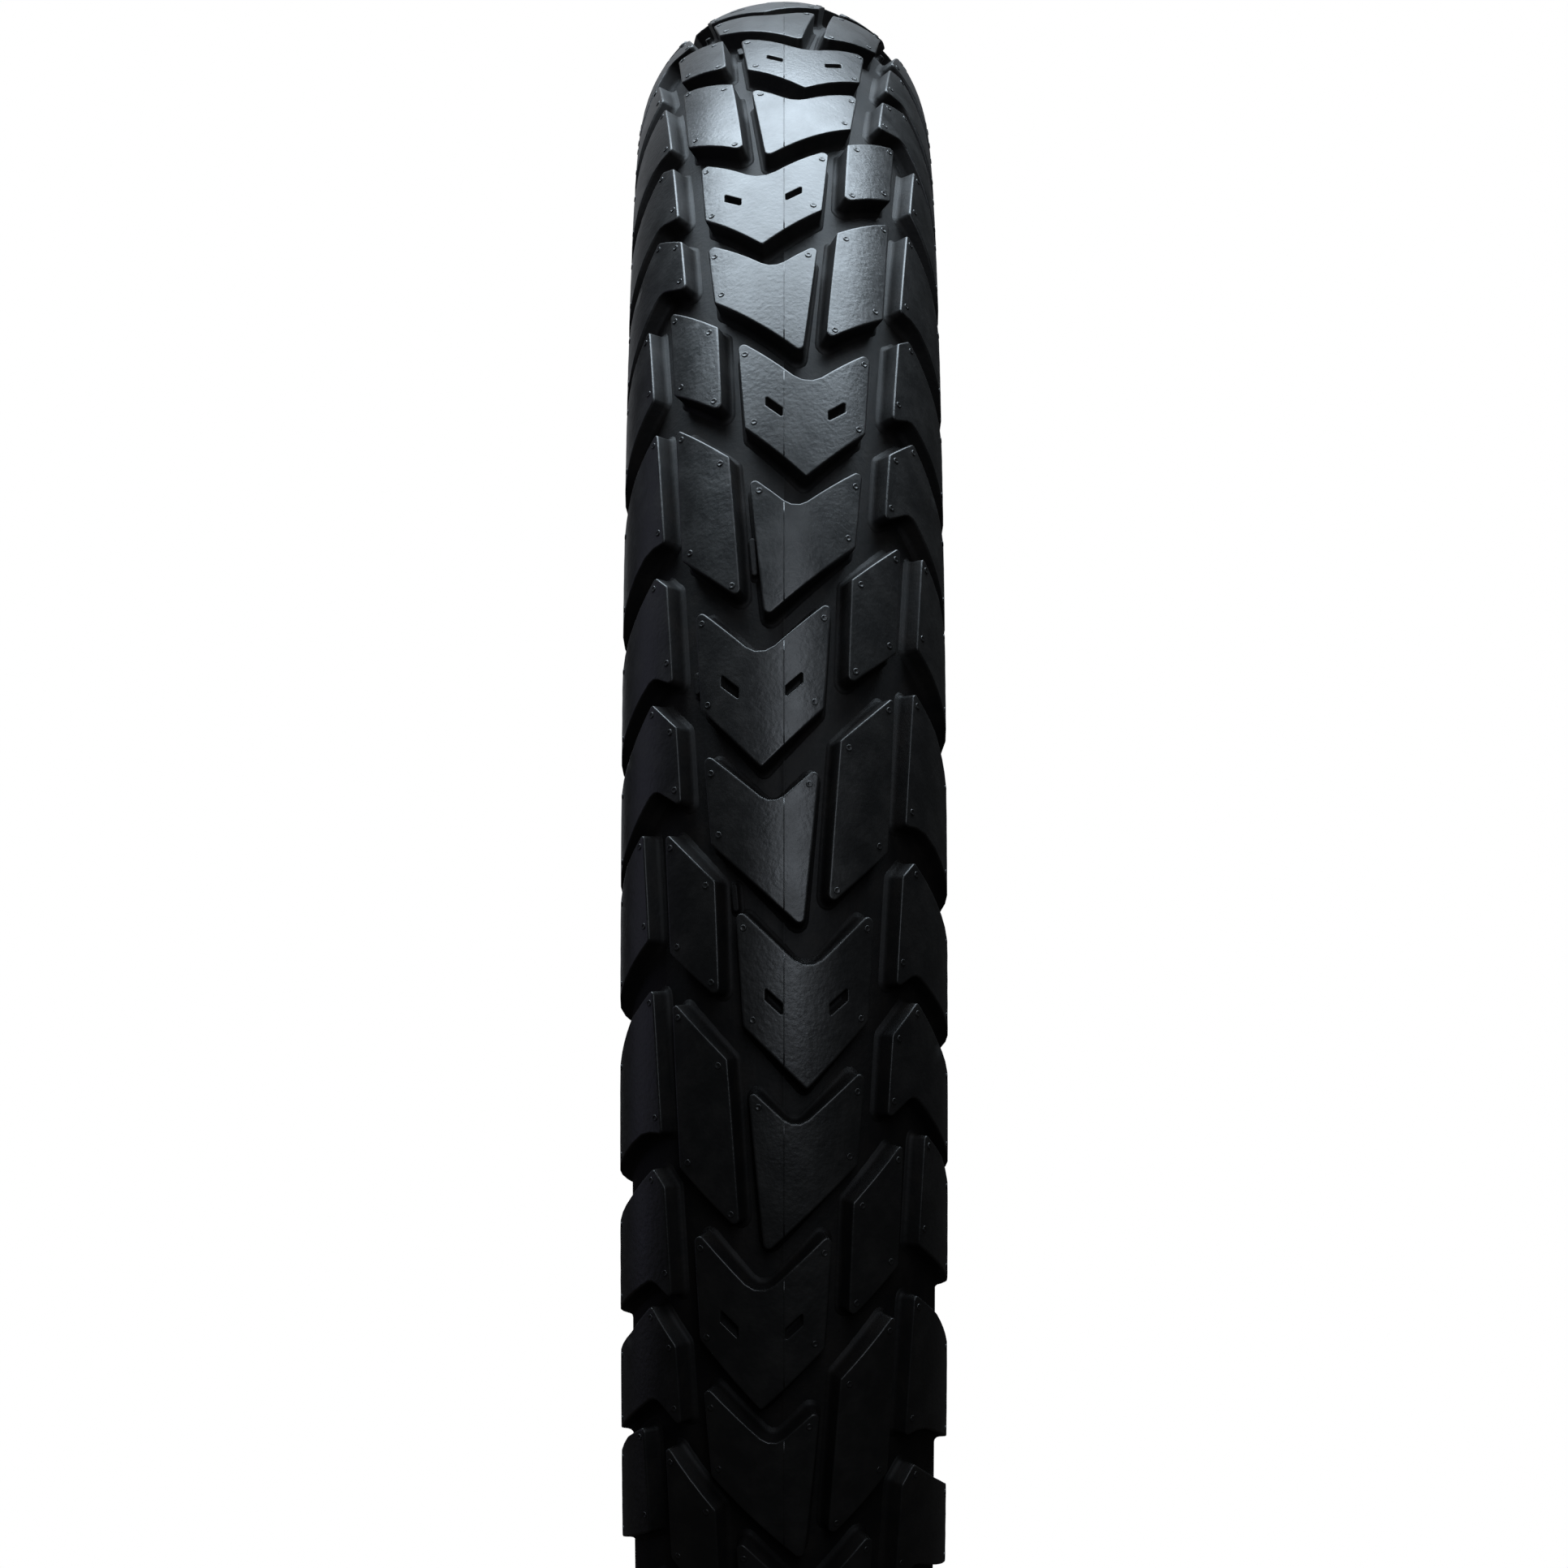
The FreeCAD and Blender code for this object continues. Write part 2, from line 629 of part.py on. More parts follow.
def add_blocks(doc, sheet):
    """One block of each kind on the right-hand pattern."""
    surface = Surface(sheet)
    shell = block_shell(sheet, surface)
    slots = [prism(surface, outline, sheet.SlotDepth, BLOCK_CLEAR) for outline in SLOTS]
    made = []
    for name, outline in BLOCKS.items():
        shape = shell.common(prism(surface, outline, 2 * surface.arc - sheet.SkinArc, BLOCK_CLEAR))
        if name == "slotted_chevron":
            shape = shape.cut(slots)
        block = doc.addObject("Part::Feature", f"block_{name}")
        block.Shape = shape
        block.Placement = FreeCAD.Placement()
        made.append(block)
    return made


def add_tread(doc, sheet):
    """Base ring with every block turned, and mirrored for the left half, into its place."""
    base = add_tread_base(doc, sheet)
    doc.recompute()
    axle = FreeCAD.Vector(0, 1, 0)
    copies = []
    for block in add_blocks(doc, sheet):
        mirrored = block.Shape.mirror(FreeCAD.Vector(), axle)
        for step in range(REPEATS):
            turn = step * 360 / REPEATS
            for shape, offset in ((block.Shape, 0), (mirrored, 180 / REPEATS)):
                copy = shape.copy()
                copy.rotate(FreeCAD.Vector(), axle, turn + offset)
                copies.append(copy)
    tread = doc.addObject("Part::Feature", "tread")
    tread.Shape = base.Shape.fuse(copies)
    tread.Placement = FreeCAD.Placement()
    tread.Label = "tread"
    return tread


def check(doc, pieces):
    for item in doc.Objects:
        if "Invalid" in item.State or "Error" in item.State:
            raise RuntimeError(f"{item.Name} did not recompute: {item.State}")
    for piece in pieces:
        if piece.Shape.isNull() or not piece.Shape.isValid():
            raise RuntimeError(f"{piece.Label} has no valid shape")


def main():
    doc = FreeCAD.newDocument("tire")
    sheet = make_sheet(doc)
    pieces = add_crown_layers(doc, sheet)
    pieces += add_breaker_edge_strips(doc, sheet)
    pieces += add_casing(doc, sheet)
    pieces += add_sidewalls(doc, sheet)
    pieces += add_chafers(doc, sheet)
    pieces += add_bead_wraps(doc, sheet)
    pieces += add_bead_fillers(doc, sheet)
    pieces += add_bead_bundles(doc, sheet)
    pieces.append(add_tread(doc, sheet))
    doc.recompute()
    check(doc, pieces)
    os.makedirs("parts", exist_ok=True)
    for piece in pieces:
        piece.Shape.exportStep(f"parts/{piece.Label}.step")
        print(piece.Label, len(piece.Shape.Solids), round(piece.Shape.Volume / 1000, 1), "cm3")


main()
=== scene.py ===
import json
import math

import bpy
import numpy as np
from mathutils import Matrix, Vector
from mathutils.geometry import delaunay_2d_cdt


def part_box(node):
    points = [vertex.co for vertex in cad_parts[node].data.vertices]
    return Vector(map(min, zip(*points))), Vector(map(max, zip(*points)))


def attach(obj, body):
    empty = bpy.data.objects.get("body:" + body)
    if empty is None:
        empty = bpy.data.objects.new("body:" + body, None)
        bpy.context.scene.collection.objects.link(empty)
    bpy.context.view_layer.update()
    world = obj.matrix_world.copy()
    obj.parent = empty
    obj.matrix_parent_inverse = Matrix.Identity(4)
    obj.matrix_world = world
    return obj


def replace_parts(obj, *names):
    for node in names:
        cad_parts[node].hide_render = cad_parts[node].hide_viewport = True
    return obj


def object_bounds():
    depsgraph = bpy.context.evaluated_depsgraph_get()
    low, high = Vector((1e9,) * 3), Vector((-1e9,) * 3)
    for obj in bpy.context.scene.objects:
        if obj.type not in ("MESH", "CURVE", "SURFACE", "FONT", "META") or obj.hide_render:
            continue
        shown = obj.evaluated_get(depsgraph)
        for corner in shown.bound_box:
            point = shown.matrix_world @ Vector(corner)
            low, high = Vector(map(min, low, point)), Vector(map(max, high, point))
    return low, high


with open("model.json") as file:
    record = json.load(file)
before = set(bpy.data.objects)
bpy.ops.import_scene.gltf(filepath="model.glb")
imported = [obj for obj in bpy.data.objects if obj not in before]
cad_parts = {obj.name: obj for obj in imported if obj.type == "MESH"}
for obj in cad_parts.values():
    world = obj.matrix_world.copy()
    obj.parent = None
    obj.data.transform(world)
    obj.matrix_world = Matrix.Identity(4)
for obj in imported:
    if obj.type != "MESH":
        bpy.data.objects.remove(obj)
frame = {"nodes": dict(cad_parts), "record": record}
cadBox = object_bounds()
print("frame loaded:", len(frame["nodes"]), "nodes")

# Lengths below are in millimetres and meshes are in metres. The axle line is Y.
metre = 1000.0
halfWidth, outerRadius = [float(size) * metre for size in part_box("tread")[1][1:]]
beadRadius = frame["record"]["mounts"][0]["dims"]["r_mm"]
heelWidth = float(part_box("chafer_right")[1][1]) * metre

# The tread pattern repeats this far along the crown. Its left half is its right half
# mirrored and moved on by half a repeat.
repeats = 12
repeatLength = 2 * math.pi * outerRadius / repeats

# Section of the tire: round arcs, each given by its centre (offset, radius) and its radius.
section = {
    "blockCentreRadius": outerRadius - halfWidth,       # over the block tops, on the middle plane
    "blockArc": halfWidth,
    "blockEndArc": 20.6,                                # block ends, below the widest point
    "skinCentre": (0.0, 300.0),                         # groove floors
    "skinArc": 43.5,
    "lowerSkinCentre": (20.0, 300.0),                   # sidewall skin
    "lowerSkinArc": 23.5,
    "wingAngle": 35.0,                                  # edge of the tread on the sidewall
    "rimLineAngle": 52.0,
    "underArc": 41.8,                                   # underside of the tread base
    "wingUnderArc": 41.0,
    "underAngle": 60.0,
}


# Section over the blocks at an arc length from the middle plane: the crown arc up to the
# widest point, then the smaller arc of the block ends. Gives side, offset, radius and the
# direction of the surface's normal.
def blockSection(across):
    side = np.where(across < 0, -1.0, 1.0)
    length = np.abs(across)
    crown = section["blockArc"]
    end = section["blockEndArc"]
    quarter = crown * math.pi / 2
    past = length > quarter
    arc = np.where(past, end, crown)
    angle = np.where(past, math.pi / 2 + (length - quarter) / end, length / crown)
    middle = np.where(past, crown - end, 0.0)
    out = np.sin(angle)
    up = np.cos(angle)
    return side, middle + arc * out, section["blockCentreRadius"] + arc * up, out, up


# Distance from the block surface straight down to the groove floor: where the line along
# the surface's normal meets the skin's arc.
def grooveDepth(across):
    offset, radius, out, up = blockSection(across)[1:]
    lower = radius < section["skinCentre"][1]
    centreY = np.where(lower, section["lowerSkinCentre"][0], section["skinCentre"][0])
    centreR = section["skinCentre"][1]
    arc = np.where(lower, section["lowerSkinArc"], section["skinArc"])
    y = offset - centreY
    r = radius - centreR
    along = y * out + r * up
    return along - np.sqrt(np.maximum(along ** 2 - (y ** 2 + r ** 2 - arc ** 2), 0.0))


# Point of the tire for a place in the tread: go along the section arc, turn about the
# axle, and sink below the block surface along its normal.
def onTire(across, along, drop):
    side, offset, radius, out, up = blockSection(across)
    angle = along / outerRadius
    radial = radius - up * drop
    lateral = side * (offset - out * drop)
    return np.stack([radial * np.cos(angle), lateral, radial * np.sin(angle)], axis=-1)


# Closed outline with rounded corners. Corners are (across, along, corner radius). Gives the
# points, anticlockwise, and for each the direction in which the outline grows. Straight
# sides bow out by a few hundredths, so no three points on them lie in one line.
outlineShape = {
    "arcStep": 32.0,             # degrees between the points of a rounded corner
    "cornerShare": 0.48,         # a corner takes up at most this share of each side
    "bow": 0.006,
}


def roundedOutline(corners, spacing):
    place = np.array([c[:2] for c in corners], float)
    turnSign = np.sum(place[:, 0] * np.roll(place[:, 1], -1)
                      - np.roll(place[:, 0], -1) * place[:, 1])
    if turnSign < 0:
        corners = corners[::-1]
    points, normals = [], []
    count = len(corners)
    ends = []
    for i in range(count):
        before = np.array(corners[i - 1][:2], float)
        here = np.array(corners[i][:2], float)
        after = np.array(corners[(i + 1) % count][:2], float)
        came = (here - before) / np.linalg.norm(here - before)
        goes = (after - here) / np.linalg.norm(after - here)
        turn = math.atan2(came[0] * goes[1] - came[1] * goes[0], came @ goes)
        radius = corners[i][2]
        reach = radius * math.tan(abs(turn) / 2)
        limit = outlineShape["cornerShare"] * min(np.linalg.norm(here - before),
                                                   np.linalg.norm(after - here))
        if reach > limit:
            radius *= limit / reach
            reach = limit
        start = here - came * reach
        right = np.array([came[1], -came[0]])
        centre = start - right * radius * math.copysign(1, turn)
        steps = max(2, math.ceil(abs(math.degrees(turn)) / outlineShape["arcStep"]) + 1)
        swing = turn * np.linspace(0, 1, steps)
        spoke = np.stack([right[0] * np.cos(swing) - right[1] * np.sin(swing),
                          right[0] * np.sin(swing) + right[1] * np.cos(swing)], axis=1)
        ends.append((centre + spoke * radius * math.copysign(1, turn), spoke))
    for i in range(count):
        arc, spoke = ends[i]
        nextArc = ends[(i + 1) % count][0]
        run = np.linalg.norm(nextArc[0] - arc[-1])
        pieces = max(1, round(run / spacing))
        share = np.linspace(0, 1, pieces + 1)[1:-1, None]
        bow = outlineShape["bow"] * run * share * (1 - share)
        points += [arc, arc[-1] + (nextArc[0] - arc[-1]) * share + spoke[-1] * bow]
        normals += [spoke, np.repeat(spoke[-1:], len(share), axis=0)]
    return np.concatenate(points), np.concatenate(normals)


# Even-odd test: a point is inside where a line from it crosses the outline an odd number
# of times.
def insideOutline(points, outline):
    x, y = points[:, 0, None], points[:, 1, None]
    x0, y0 = outline[None, :, 0], outline[None, :, 1]
    x1, y1 = np.roll(x0, -1, axis=1), np.roll(y0, -1, axis=1)
    crosses = (y0 > y) != (y1 > y)
    height = np.where(y1 == y0, 1.0, y1 - y0)
    where = x0 + (y - y0) * (x1 - x0) / height
    return (np.sum(crosses & (x < where), axis=1) % 2).astype(bool)


# Triangles that fill an outline, with staggered points inside so that the surface can
# bend, and with holes left open. The inside points make nearly equal-sided triangles, so
# their rows are 0.87 of the spacing apart, and they keep clear of the rims.
fillShape = {"rowStep": 0.87, "rimClearance": 0.45}


def fillOutline(outline, holes=(), spacing=None):
    extra = np.zeros((0, 2))
    if spacing:
        low, high = outline.min(0), outline.max(0)
        rows = np.arange(low[1], high[1], spacing * fillShape["rowStep"])
        columns = np.arange(low[0], high[0], spacing)
        grid = np.stack(np.meshgrid(columns, rows), axis=-1)
        grid[1::2, :, 0] += spacing / 2
        extra = grid.reshape(-1, 2)
        rims = [outline] + list(holes)
        gaps = np.min([np.linalg.norm(extra[:, None] - rim[None], axis=2).min(1)
                       for rim in rims], axis=0)
        keep = insideOutline(extra, outline) & (gaps > spacing * fillShape["rimClearance"])
        for hole in holes:
            keep &= ~insideOutline(extra, hole)
        extra = extra[keep]
    loops = [outline] + list(holes)
    points = np.concatenate(loops + [extra])
    edges, start = [], 0
    for loop in loops:
        size = len(loop)
        edges += [(start + i, start + (i + 1) % size) for i in range(size)]
        start += size
    result = delaunay_2d_cdt(points.tolist(), edges, [], 1, 1e-6)
    source = np.array([origin[0] for origin in result[3]])
    triangles = source[np.array(result[2])]
    middle = points[triangles].mean(axis=1)
    for hole in holes:
        outside = ~insideOutline(middle, hole)
        triangles, middle = triangles[outside], middle[outside]
    return extra, triangles


# Quads between one closed ring of points and the next, for rings stored one after another.
def ringQuads(size, ringStarts):
    around = np.arange(size)
    ahead = (around + 1) % size
    quads = [np.stack([low + around, low + ahead, high + ahead, high + around], axis=1)
             for low, high in zip(ringStarts[:-1], ringStarts[1:])]
    return np.concatenate(quads)


# Several shapes as one: the points one after another, and the faces counted on from there.
def joinShapes(shapes):
    points, quads, triangles = zip(*shapes)
    starts = np.cumsum([0] + [len(part) for part in points[:-1]])
    return (np.concatenate(points),
            np.concatenate([part + start for part, start in zip(quads, starts)]),
            np.concatenate([part + start for part, start in zip(triangles, starts)]))


# Mesh object from points in millimetres and arrays of quads and triangles.
def makePiece(name, points, faces, material, attributes=None):
    mesh = bpy.data.meshes.new(name)
    counts = np.concatenate([np.full(len(f), f.shape[1]) for f in faces])
    corners = np.concatenate([f.reshape(-1) for f in faces]).astype(np.int32)
    mesh.vertices.add(len(points))
    mesh.vertices.foreach_set("co", (points / metre).astype(np.float32).reshape(-1))
    mesh.loops.add(len(corners))
    mesh.loops.foreach_set("vertex_index", corners)
    mesh.polygons.add(len(counts))
    starts = np.concatenate([[0], np.cumsum(counts)[:-1]]).astype(np.int32)
    mesh.polygons.foreach_set("loop_start", starts)
    mesh.update(calc_edges=True)
    mesh.polygons.foreach_set("use_smooth", np.ones(len(counts), bool))
    for key, values in (attributes or {}).items():
        layer = mesh.attributes.new(key, "FLOAT", "POINT")
        layer.data.foreach_set("value", np.asarray(values, np.float32))
    mesh.materials.append(material)
    mesh.validate()
    piece = bpy.data.objects.new(name, mesh)
    bpy.context.scene.collection.objects.link(piece)
    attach(piece, "root")
    return piece


# sRGB hex colour as linear red, green, blue and alpha
def hexToLinear(code):
    parts = [int(code[i:i + 2], 16) / 255 for i in (1, 3, 5)]
    linear = [p / 12.92 if p <= 0.04045 else ((p + 0.055) / 1.055) ** 2.4 for p in parts]
    return (*linear, 1.0)


# A socket is found by its identifier or its name.
def socketOf(sockets, key):
    for socket in sockets:
        if key in (socket.identifier, socket.name):
            return socket
    return None


# Adds a node, sets its own settings and sockets, and links other nodes' outputs to it.
def addNode(tree, kind, settings=None, links=None):
    node = tree.nodes.new(kind)
    for key, value in (settings or {}).items():
        if hasattr(node, key):
            setattr(node, key, value)
        else:
            socketOf(node.inputs, key).default_value = value
    for key, (source, output) in (links or {}).items():
        tree.links.new(socketOf(source.outputs, output), socketOf(node.inputs, key))
    return node


def newMaterial(name):
    material = bpy.data.materials.new(name)
    material.use_nodes = True
    material.node_tree.nodes.clear()
    return material, material.node_tree


# Ends a material. Its colour runs from the look's first to its second by one share, and its
# roughness by another.
def addFinish(tree, look, colourShare, roughShare, settings, normal=None):
    first, second = look["colours"]
    low, high = look["roughness"]
    tint = addNode(tree, "ShaderNodeMix",
                   {"data_type": "RGBA", "A_Color": hexToLinear(first),
                    "B_Color": hexToLinear(second)},
                   {"Factor_Float": colourShare})
    rough = addNode(tree, "ShaderNodeMapRange", {"To Min": low, "To Max": high},
                    {"Value": roughShare})
    shader = addNode(tree, "ShaderNodeBsdfPrincipled", settings,
                     {"Base Color": (tint, "Result_Color"), "Roughness": (rough, "Result")})
    if normal:
        tree.links.new(normal.outputs["Normal"], shader.inputs["Normal"])
    addNode(tree, "ShaderNodeOutputMaterial", None, {"Surface": (shader, "BSDF")})


# Black tread rubber, cured in a steel mould that was blasted with fine grit. The block
# faces are satin with a pebbled grain. Walls and groove floors are painted darker, as shade
# in the grooves, and keep a film of release agent and dust, so they are browner and quite matte.
mouldedRubber = {
    "faceColour": "#181818",
    "wornColour": "#21201f",     # slow stains on the faces
    # painted shade: the colour of walls and groove floors, darker than the faces
    "shadedFloorColour": "#0e0d0d",
    "dustColour": "#1a1715",
    "roughness": 0.37,
    "roughnessSpread": 0.10,
    "wallRoughness": 0.62,
    "wallShine": 0.24,           # weight of the shine on walls and floors
    "faceShine": 0.5,
    "grainSize": 1.5,            # the real grain is about 0.2 and would not show
    "grainDepth": 0.13,
    "waveSize": 9.0,             # slow unevenness left by the mould and the cure
    "waveDepth": 0.05,
}
# Where on the slow unevenness the stains and the satin begin and end, and where on a
# block's height its face begins
rubberLimits = {"stain": (0.42, 0.68), "satin": (0.3, 0.7), "face": (0.86, 0.99)}


def makeMouldedRubber(name, look, heightAttribute=None):
    material, tree = newMaterial(name)
    place = addNode(tree, "ShaderNodeTexCoord")
    grain = addNode(tree, "ShaderNodeTexNoise",
                    {"Scale": metre / look["grainSize"], "Detail": 3.0},
                    {"Vector": (place, "Object")})
    wave = addNode(tree, "ShaderNodeTexNoise",
                   {"Scale": metre / look["waveSize"], "Detail": 4.0, "Roughness": 0.6},
                   {"Vector": (place, "Object")})
    slow = addNode(tree, "ShaderNodeBump",
                   {"Strength": 0.5, "Distance": look["waveDepth"] / metre},
                   {"Height": (wave, "Fac")})
    pebble = addNode(tree, "ShaderNodeBump",
                     {"Strength": 0.8, "Distance": look["grainDepth"] / metre},
                     {"Height": (grain, "Fac"), "Normal": (slow, "Normal")})
    low, high = rubberLimits["stain"]
    stain = addNode(tree, "ShaderNodeMapRange", {"From Min": low, "From Max": high},
                    {"Value": (wave, "Fac")})
    low, high = rubberLimits["satin"]
    half = look["roughnessSpread"] / 2
    satin = addNode(tree, "ShaderNodeMapRange",
                    {"From Min": low, "From Max": high,
                     "To Min": look["roughness"] - half, "To Max": look["roughness"] + half},
                    {"Value": (wave, "Fac")})
    face = addNode(tree, "ShaderNodeMix",
                   {"data_type": "RGBA", "A_Color": hexToLinear(look["faceColour"]),
                    "B_Color": hexToLinear(look["wornColour"])},
                   {"Factor_Float": (stain, "Result")})
    shader = addNode(tree, "ShaderNodeBsdfPrincipled", {"IOR": 1.52},
                     {"Normal": (pebble, "Normal"), "Roughness": (satin, "Result"),
                      "Base Color": (face, "Result_Color")})
    if heightAttribute:
        height = addNode(tree, "ShaderNodeAttribute", {"attribute_name": heightAttribute})
        low, high = rubberLimits["face"]
        onFace = addNode(tree, "ShaderNodeMapRange", {"From Min": low, "From Max": high},
                         {"Value": (height, "Fac")})
        # Below the faces, walls and floors mix a painted shade colour with brown dust stains, so
        # the grooves are painted darker
        dustAndShade = addNode(tree, "ShaderNodeMix",
                        {"data_type": "RGBA", "A_Color": hexToLinear(look["shadedFloorColour"]),
                         "B_Color": hexToLinear(look["dustColour"])},
                        {"Factor_Float": (stain, "Result")})
        tint = addNode(tree, "ShaderNodeMix", {"data_type": "RGBA"},
                       {"Factor_Float": (onFace, "Result"), "A_Color": (dustAndShade, "Result_Color"),
                        "B_Color": (face, "Result_Color")})
        matte = addNode(tree, "ShaderNodeMix",
                        {"data_type": "FLOAT", "A_Float": look["wallRoughness"]},
                        {"Factor_Float": (onFace, "Result"), "B_Float": (satin, "Result")})
        shine = addNode(tree, "ShaderNodeMix",
                        {"data_type": "FLOAT", "A_Float": look["wallShine"],
                         "B_Float": look["faceShine"]},
                        {"Factor_Float": (onFace, "Result")})
        for source, output, key in ((tint, "Result_Color", "Base Color"),
                                    (matte, "Result_Float", "Roughness"),
                                    (shine, "Result_Float", "Specular IOR Level")):
            tree.links.new(socketOf(source.outputs, output), shader.inputs[key])
    addNode(tree, "ShaderNodeOutputMaterial", None, {"Surface": (shader, "BSDF")})
    return material


treadRubber = makeMouldedRubber("tread_rubber", mouldedRubber, "height")


# Corners are (across, along, corner radius); pips are places of vent pips. Each block is
# in the right-hand pattern and is repeated round the tire and mirrored for the left.
centreBlocks = {
    "slottedChevron": {
        "corners": [(-27.0, 133.8, 1.8), (-6.9, 114.4, 6.0), (14.0, 133.8, 1.6),
                    (11.6, 99.5, 1.2), (-6.5, 81.6, 0.9), (-24.9, 101.0, 1.4)],
        "slots": [[(-18.4, 110.6, 0.4), (-13.0, 105.8, 0.4), (-13.0, 102.2, 0.4),
                   (-18.4, 106.9, 0.4)],
                  [(5.4, 110.4, 0.4), (0.4, 105.8, 0.4), (0.4, 102.3, 0.4),
                   (5.4, 106.9, 0.4)]],
        "pips": [(-24.6, 127.6), (11.6, 127.2), (-22.6, 101.8), (8.8, 101.2)],
    },
    "plainChevron": {
        "corners": [(-24.0, 88.2, 1.6), (-3.3, 70.4, 5.0), (10.4, 82.8, 1.5),
                    (5.6, 35.0, 1.6), (-21.4, 60.2, 1.2)],
        "pips": [(-21.4, 81.0), (7.2, 76.8), (-19.0, 62.7)],
    },
    "largeIntermediate": {
        "corners": [(16.2, 90.2, 1.0), (34.8, 107.6, 1.2), (31.8, 58.8, 1.2),
                    (12.4, 41.4, 1.6)],
        "pips": [(19.0, 88.4), (32.4, 102.2), (28.8, 60.4), (15.2, 46.4)],
    },
    "smallIntermediate": {
        "corners": [(20.0, 141.0, 1.0), (37.8, 158.0, 1.2), (35.6, 121.2, 1.2),
                    (18.6, 107.0, 1.6)],
        "pips": [(23.0, 140.0), (35.6, 152.4), (32.8, 122.8), (21.2, 112.0)],
    },
}
shoulderBlocks = {
    "shoulderA": {
        "corners": [(48.0, 159.6, 1.3), (59.9, 151.4, 6.0), (69.7, 142.2, 8.0),
                    (89.2, 131.0, 2.0), (89.2, 101.0, 2.0), (69.7, 109.5, 10.0),
                    (44.7, 125.8, 1.3)],
        "pips": [(50.2, 155.4), (47.6, 130.4), (67.0, 140.6), (67.0, 114.4)],
    },
    "shoulderB": {
        "corners": [(42.8, 111.5, 1.3), (56.1, 102.0, 6.0), (69.7, 88.8, 8.0),
                    (89.2, 77.5, 2.0), (89.2, 45.5, 2.0), (69.7, 55.0, 10.0),
                    (54.6, 63.9, 12.0), (46.5, 68.2, 9.0), (38.8, 68.0, 1.3)],
        "pips": [(44.6, 107.0), (41.8, 72.8), (67.0, 87.4), (67.0, 59.2)],
    },
    "shoulderC": {
        "corners": [(37.6, 52.6, 1.6), (42.8, 57.7, 1.3), (55.7, 47.5, 6.0),
                    (69.7, 37.8, 8.0), (89.2, 27.0, 2.0), (89.2, -1.0, 2.0),
                    (69.7, 8.0, 8.0), (43.4, 24.0, 4.0), (34.9, 19.2, 1.3)],
        "pips": [(37.5, 27.0), (43.6, 54.0), (67.0, 36.4), (67.0, 12.6)],
    },
    "shoulderD": {
        "corners": [(33.4, 5.6, 1.6), (44.0, 15.8, 1.3), (56.1, 4.4, 6.0),
                    (69.7, -5.5, 8.0), (89.2, -17.0, 2.0), (89.2, -43.5, 2.0),
                    (69.7, -33.5, 8.0), (62.6, -28.2, 8.0), (42.2, -12.0, 4.0),
                    (31.4, -19.2, 1.3)],
        "pips": [(36.0, 4.6), (34.0, -13.6), (44.0, 12.2), (67.0, -7.0), (67.0, -29.0)],
    },
}
blockShape = {
    "edgeRound": 0.45,           # rounding of the top edges
    "edgeBand": 0.3,             # flat rim kept beside the rounding
    "draft": 0.11,               # a wall leans out by this share of its height
    "rootRound": 1.7,            # fillet where a wall meets the groove floor
    "sink": 0.6,                 # how far a block is let into the base
    "fullDepth": 2.6,            # shallower than this, roundings shrink in proportion
    "footReach": 0.3,            # the foot spreads this far past its fillet
    "slotDepth": 4.0,
    "slotEdge": 0.18,            # rounding of a slot's edges
    "slotRim": 0.5,              # flat rim kept round a slot
    "slotDraft": 0.25,           # a slot's bottom is smaller all round by this much
    "barShare": 0.8,             # a low bar fills at most this share of the groove's depth
    "rimStep": 5.0,              # spacing of points along straight edges
    "topStep": 4.6,              # spacing of points on the tops
}


# Rings of a block from its top face down to its foot. Each is the outline grown by a
# distance, and sunk below the block surface: a quarter round at the edge, a leaning wall,
# and a quarter round that runs out on the groove floor. A low bar has a height of its own.
def blockRings(outline, normals, height=None):
    rounding = np.radians([0, 30, 60, 90])
    shape = blockShape
    rings = []

    def floorAt(grow):
        return grooveDepth((outline + normals * grow[:, None])[:, 0])

    def addRing(grow, sink):
        rings.append((outline + normals * grow[:, None], sink))

    depth = grooveDepth(outline[:, 0])
    tall = depth if height is None else np.minimum(height, depth * shape["barShare"])
    fit = np.minimum(1.0, tall / shape["fullDepth"])
    edge = shape["edgeRound"] * fit
    root = shape["rootRound"] * fit
    lean = shape["draft"] * (tall - root - edge)
    addRing(-edge - shape["edgeBand"], floorAt(-edge) - tall)
    for angle in rounding:
        grow = edge * (math.sin(angle) - 1)
        addRing(grow, floorAt(grow) - tall + edge * (1 - math.cos(angle)))
    for angle in rounding:
        grow = lean + root * (1 - math.cos(angle))
        addRing(grow, floorAt(grow) - root * (1 - math.sin(angle)))
    grow = lean + root + shape["footReach"]
    addRing(grow, floorAt(grow) + shape["sink"])
    return rings


# Rings of a slot, from the block's top down to its flat bottom. The middle of a quarter
# round is 0.3 of its radius away from both of its sides.
def slotRings(outline, normals):
    edge = blockShape["slotEdge"]
    steps = [(blockShape["slotRim"], 0.0), (edge, 0.0), (edge * 0.3, edge * 0.3), (0.0, edge),
             (-blockShape["slotDraft"], blockShape["slotDepth"])]
    return [(outline + normals * grow, np.full(len(outline), sink)) for grow, sink in steps]


